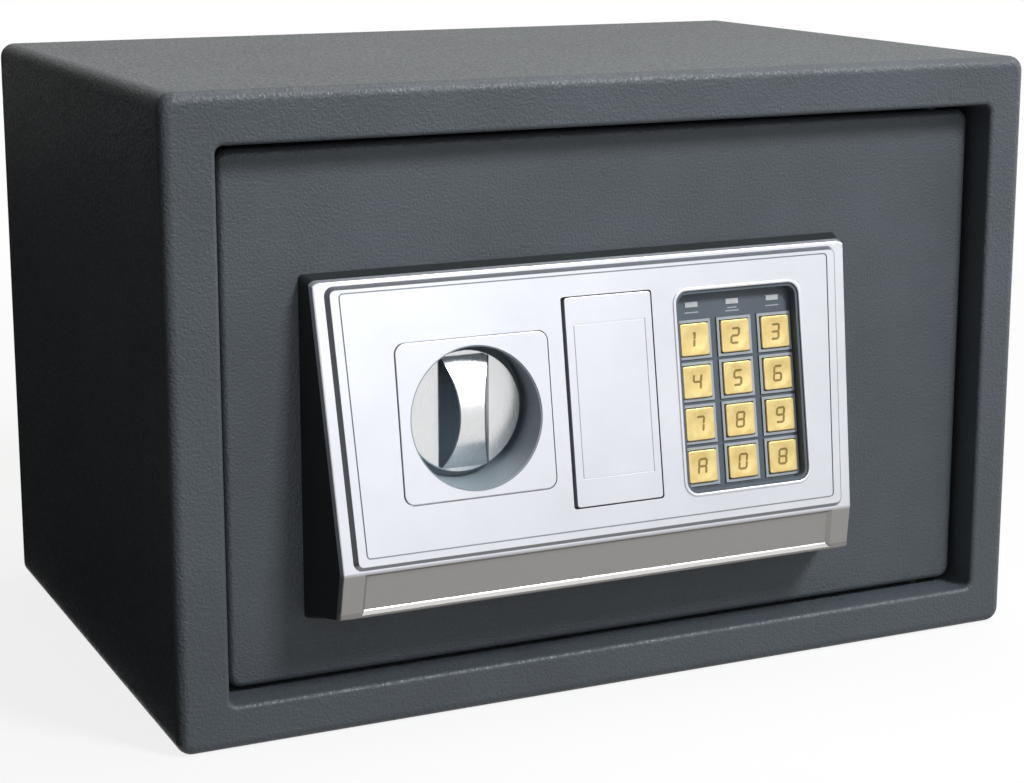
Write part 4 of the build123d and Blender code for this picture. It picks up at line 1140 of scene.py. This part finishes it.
def stand(bm, name, material):
    """Turn a bmesh into an object of the studio."""
    mesh = bpy.data.meshes.new(name)
    bm.to_mesh(mesh)
    bm.free()
    mesh.materials.append(material)
    thing = bpy.data.objects.new(name, mesh)
    scene.collection.objects.link(thing)
    return thing


show(floor_paint, share.outputs[0], floor_shader, glow)
floor_bm = bmesh.new()
bmesh.ops.create_grid(floor_bm, x_segments=1, y_segments=1, size=floor_half)
floor = stand(floor_bm, "floor", floor_paint)
print("floor is", 2 * floor_half, "m wide")

# %% [markdown]
# ## A dark card on the left
#
# A photographer keeps the left side of a dark box deep with a black card just out of the picture. This
# one lies on the floor from the box's side to half a metre out, and stands up there. The camera doesn't
# see it and it throws no shadow, so it works mostly by what the box's left side mirrors. Its back is
# clear, so that it hides nothing of the studio in views from the left.

# %% Card
card_front, card_length = -0.25, 3.2
card_near, card_far = -0.152, -0.5
card_lift, card_top = 0.002, 2.2
card_profile = [(card_near, card_lift), (card_far, card_lift), (card_far, card_top)]
# Black felt card: no shine at all, and clear from behind.
card_paint = bpy.data.materials.new("black_card")
card_paint.use_nodes = True
card_shader = card_paint.node_tree.nodes["Principled BSDF"]
card_shader.inputs["Base Color"].default_value = (0.05, 0.05, 0.05, 1)
card_shader.inputs["Roughness"].default_value = 0.9
card_shader.inputs["Specular IOR Level"].default_value = 0.0
facing = add_node(card_paint, "ShaderNodeNewGeometry")
clear = add_node(card_paint, "ShaderNodeBsdfTransparent")
show(card_paint, facing.outputs["Backfacing"], card_shader, clear)

card_bm = bmesh.new()
corners = [card_bm.verts.new((x, card_front, z)) for x, z in card_profile]
folds = [card_bm.edges.new(pair) for pair in zip(corners, corners[1:])]
stretched = bmesh.ops.extrude_edge_only(card_bm, edges=folds)["geom"]
far_corners = [item for item in stretched if isinstance(item, bmesh.types.BMVert)]
bmesh.ops.translate(card_bm, vec=(0, card_length, 0), verts=far_corners)
card = stand(card_bm, "dark_card", card_paint)
card.visible_camera = False
card.visible_shadow = False
for polygon in card.data.polygons:
    print("a face of the card looks to", [round(part, 2) for part in polygon.normal])

# %% [markdown]
# ## Lamps
#
# Soft boxes of different sizes give the light its shape: a small bright key from the front right, whose
# edge draws the grain of the coat, a wide weak one above, one far in front that fills, one at the right
# that shapes the side, and a low strip behind that lights the back for views from there. Area lamps do
# this as real ones do, and their size sets how soft a shadow's edge is.

# %% Lamps


def add_lamp(name, place, aim, size, power, tone, height=None):
    """A soft lamp at a place, aimed at a point, square unless it has a height of its own."""
    data = bpy.data.lights.new(name, "AREA")
    data.shape = "RECTANGLE"
    data.size = size
    data.size_y = height or size
    data.energy = power
    data.color = srgb(tone)[:3]
    lamp = bpy.data.objects.new(name, data)
    lamp.location = place
    lamp.rotation_euler = (Vector(aim) - Vector(place)).to_track_quat("-Z", "Y").to_euler()
    lamp.visible_camera = False
    scene.collection.objects.link(lamp)


middle = (0, 0, 0.1)
low_middle = (0, 0, 0.09)
cool, warm, plain = "#F8FBFF", "#FFF9EF", "#FFFFFF"
add_lamp("key_lamp", (0.5, -0.95, 1.05), middle, size=0.32, power=17, tone=cool)
add_lamp("top_lamp", (0.35, 0.1, 1.3), middle, size=0.7, power=5, tone=warm)
add_lamp("front_lamp", (0.25, -2.2, 0.8), middle, size=1.4, power=6, tone=cool)
add_lamp("side_lamp", (2.0, -0.4, 0.7), middle, size=1.0, power=10, tone=plain)
add_lamp("back_lamp", (0.4, 1.2, 0.09), low_middle, size=1.2, power=5, tone=plain, height=0.18)

# %% [markdown]
# ## Camera
#
# The camera looks slightly down at the front left corner with a long lens, so the box keeps the gentle
# perspective of a product picture. The lens is shifted a little, which moves the box in the frame
# without tilting its uprights.

# %% Camera
lens = 79.1
look_down = 11.897
turn_right = 25.07
camera_data = bpy.data.cameras.new("camera")
camera_data.lens = lens
camera_data.sensor_width = 36.0
camera_data.shift_y = -0.05
camera = bpy.data.objects.new("camera", camera_data)
camera.location = (-0.32959, -0.71747, 0.26264)
camera.rotation_euler = (radians(90 - look_down), 0, radians(-turn_right))
scene.collection.objects.link(camera)
scene.camera = camera
print("lens", lens, "mm")
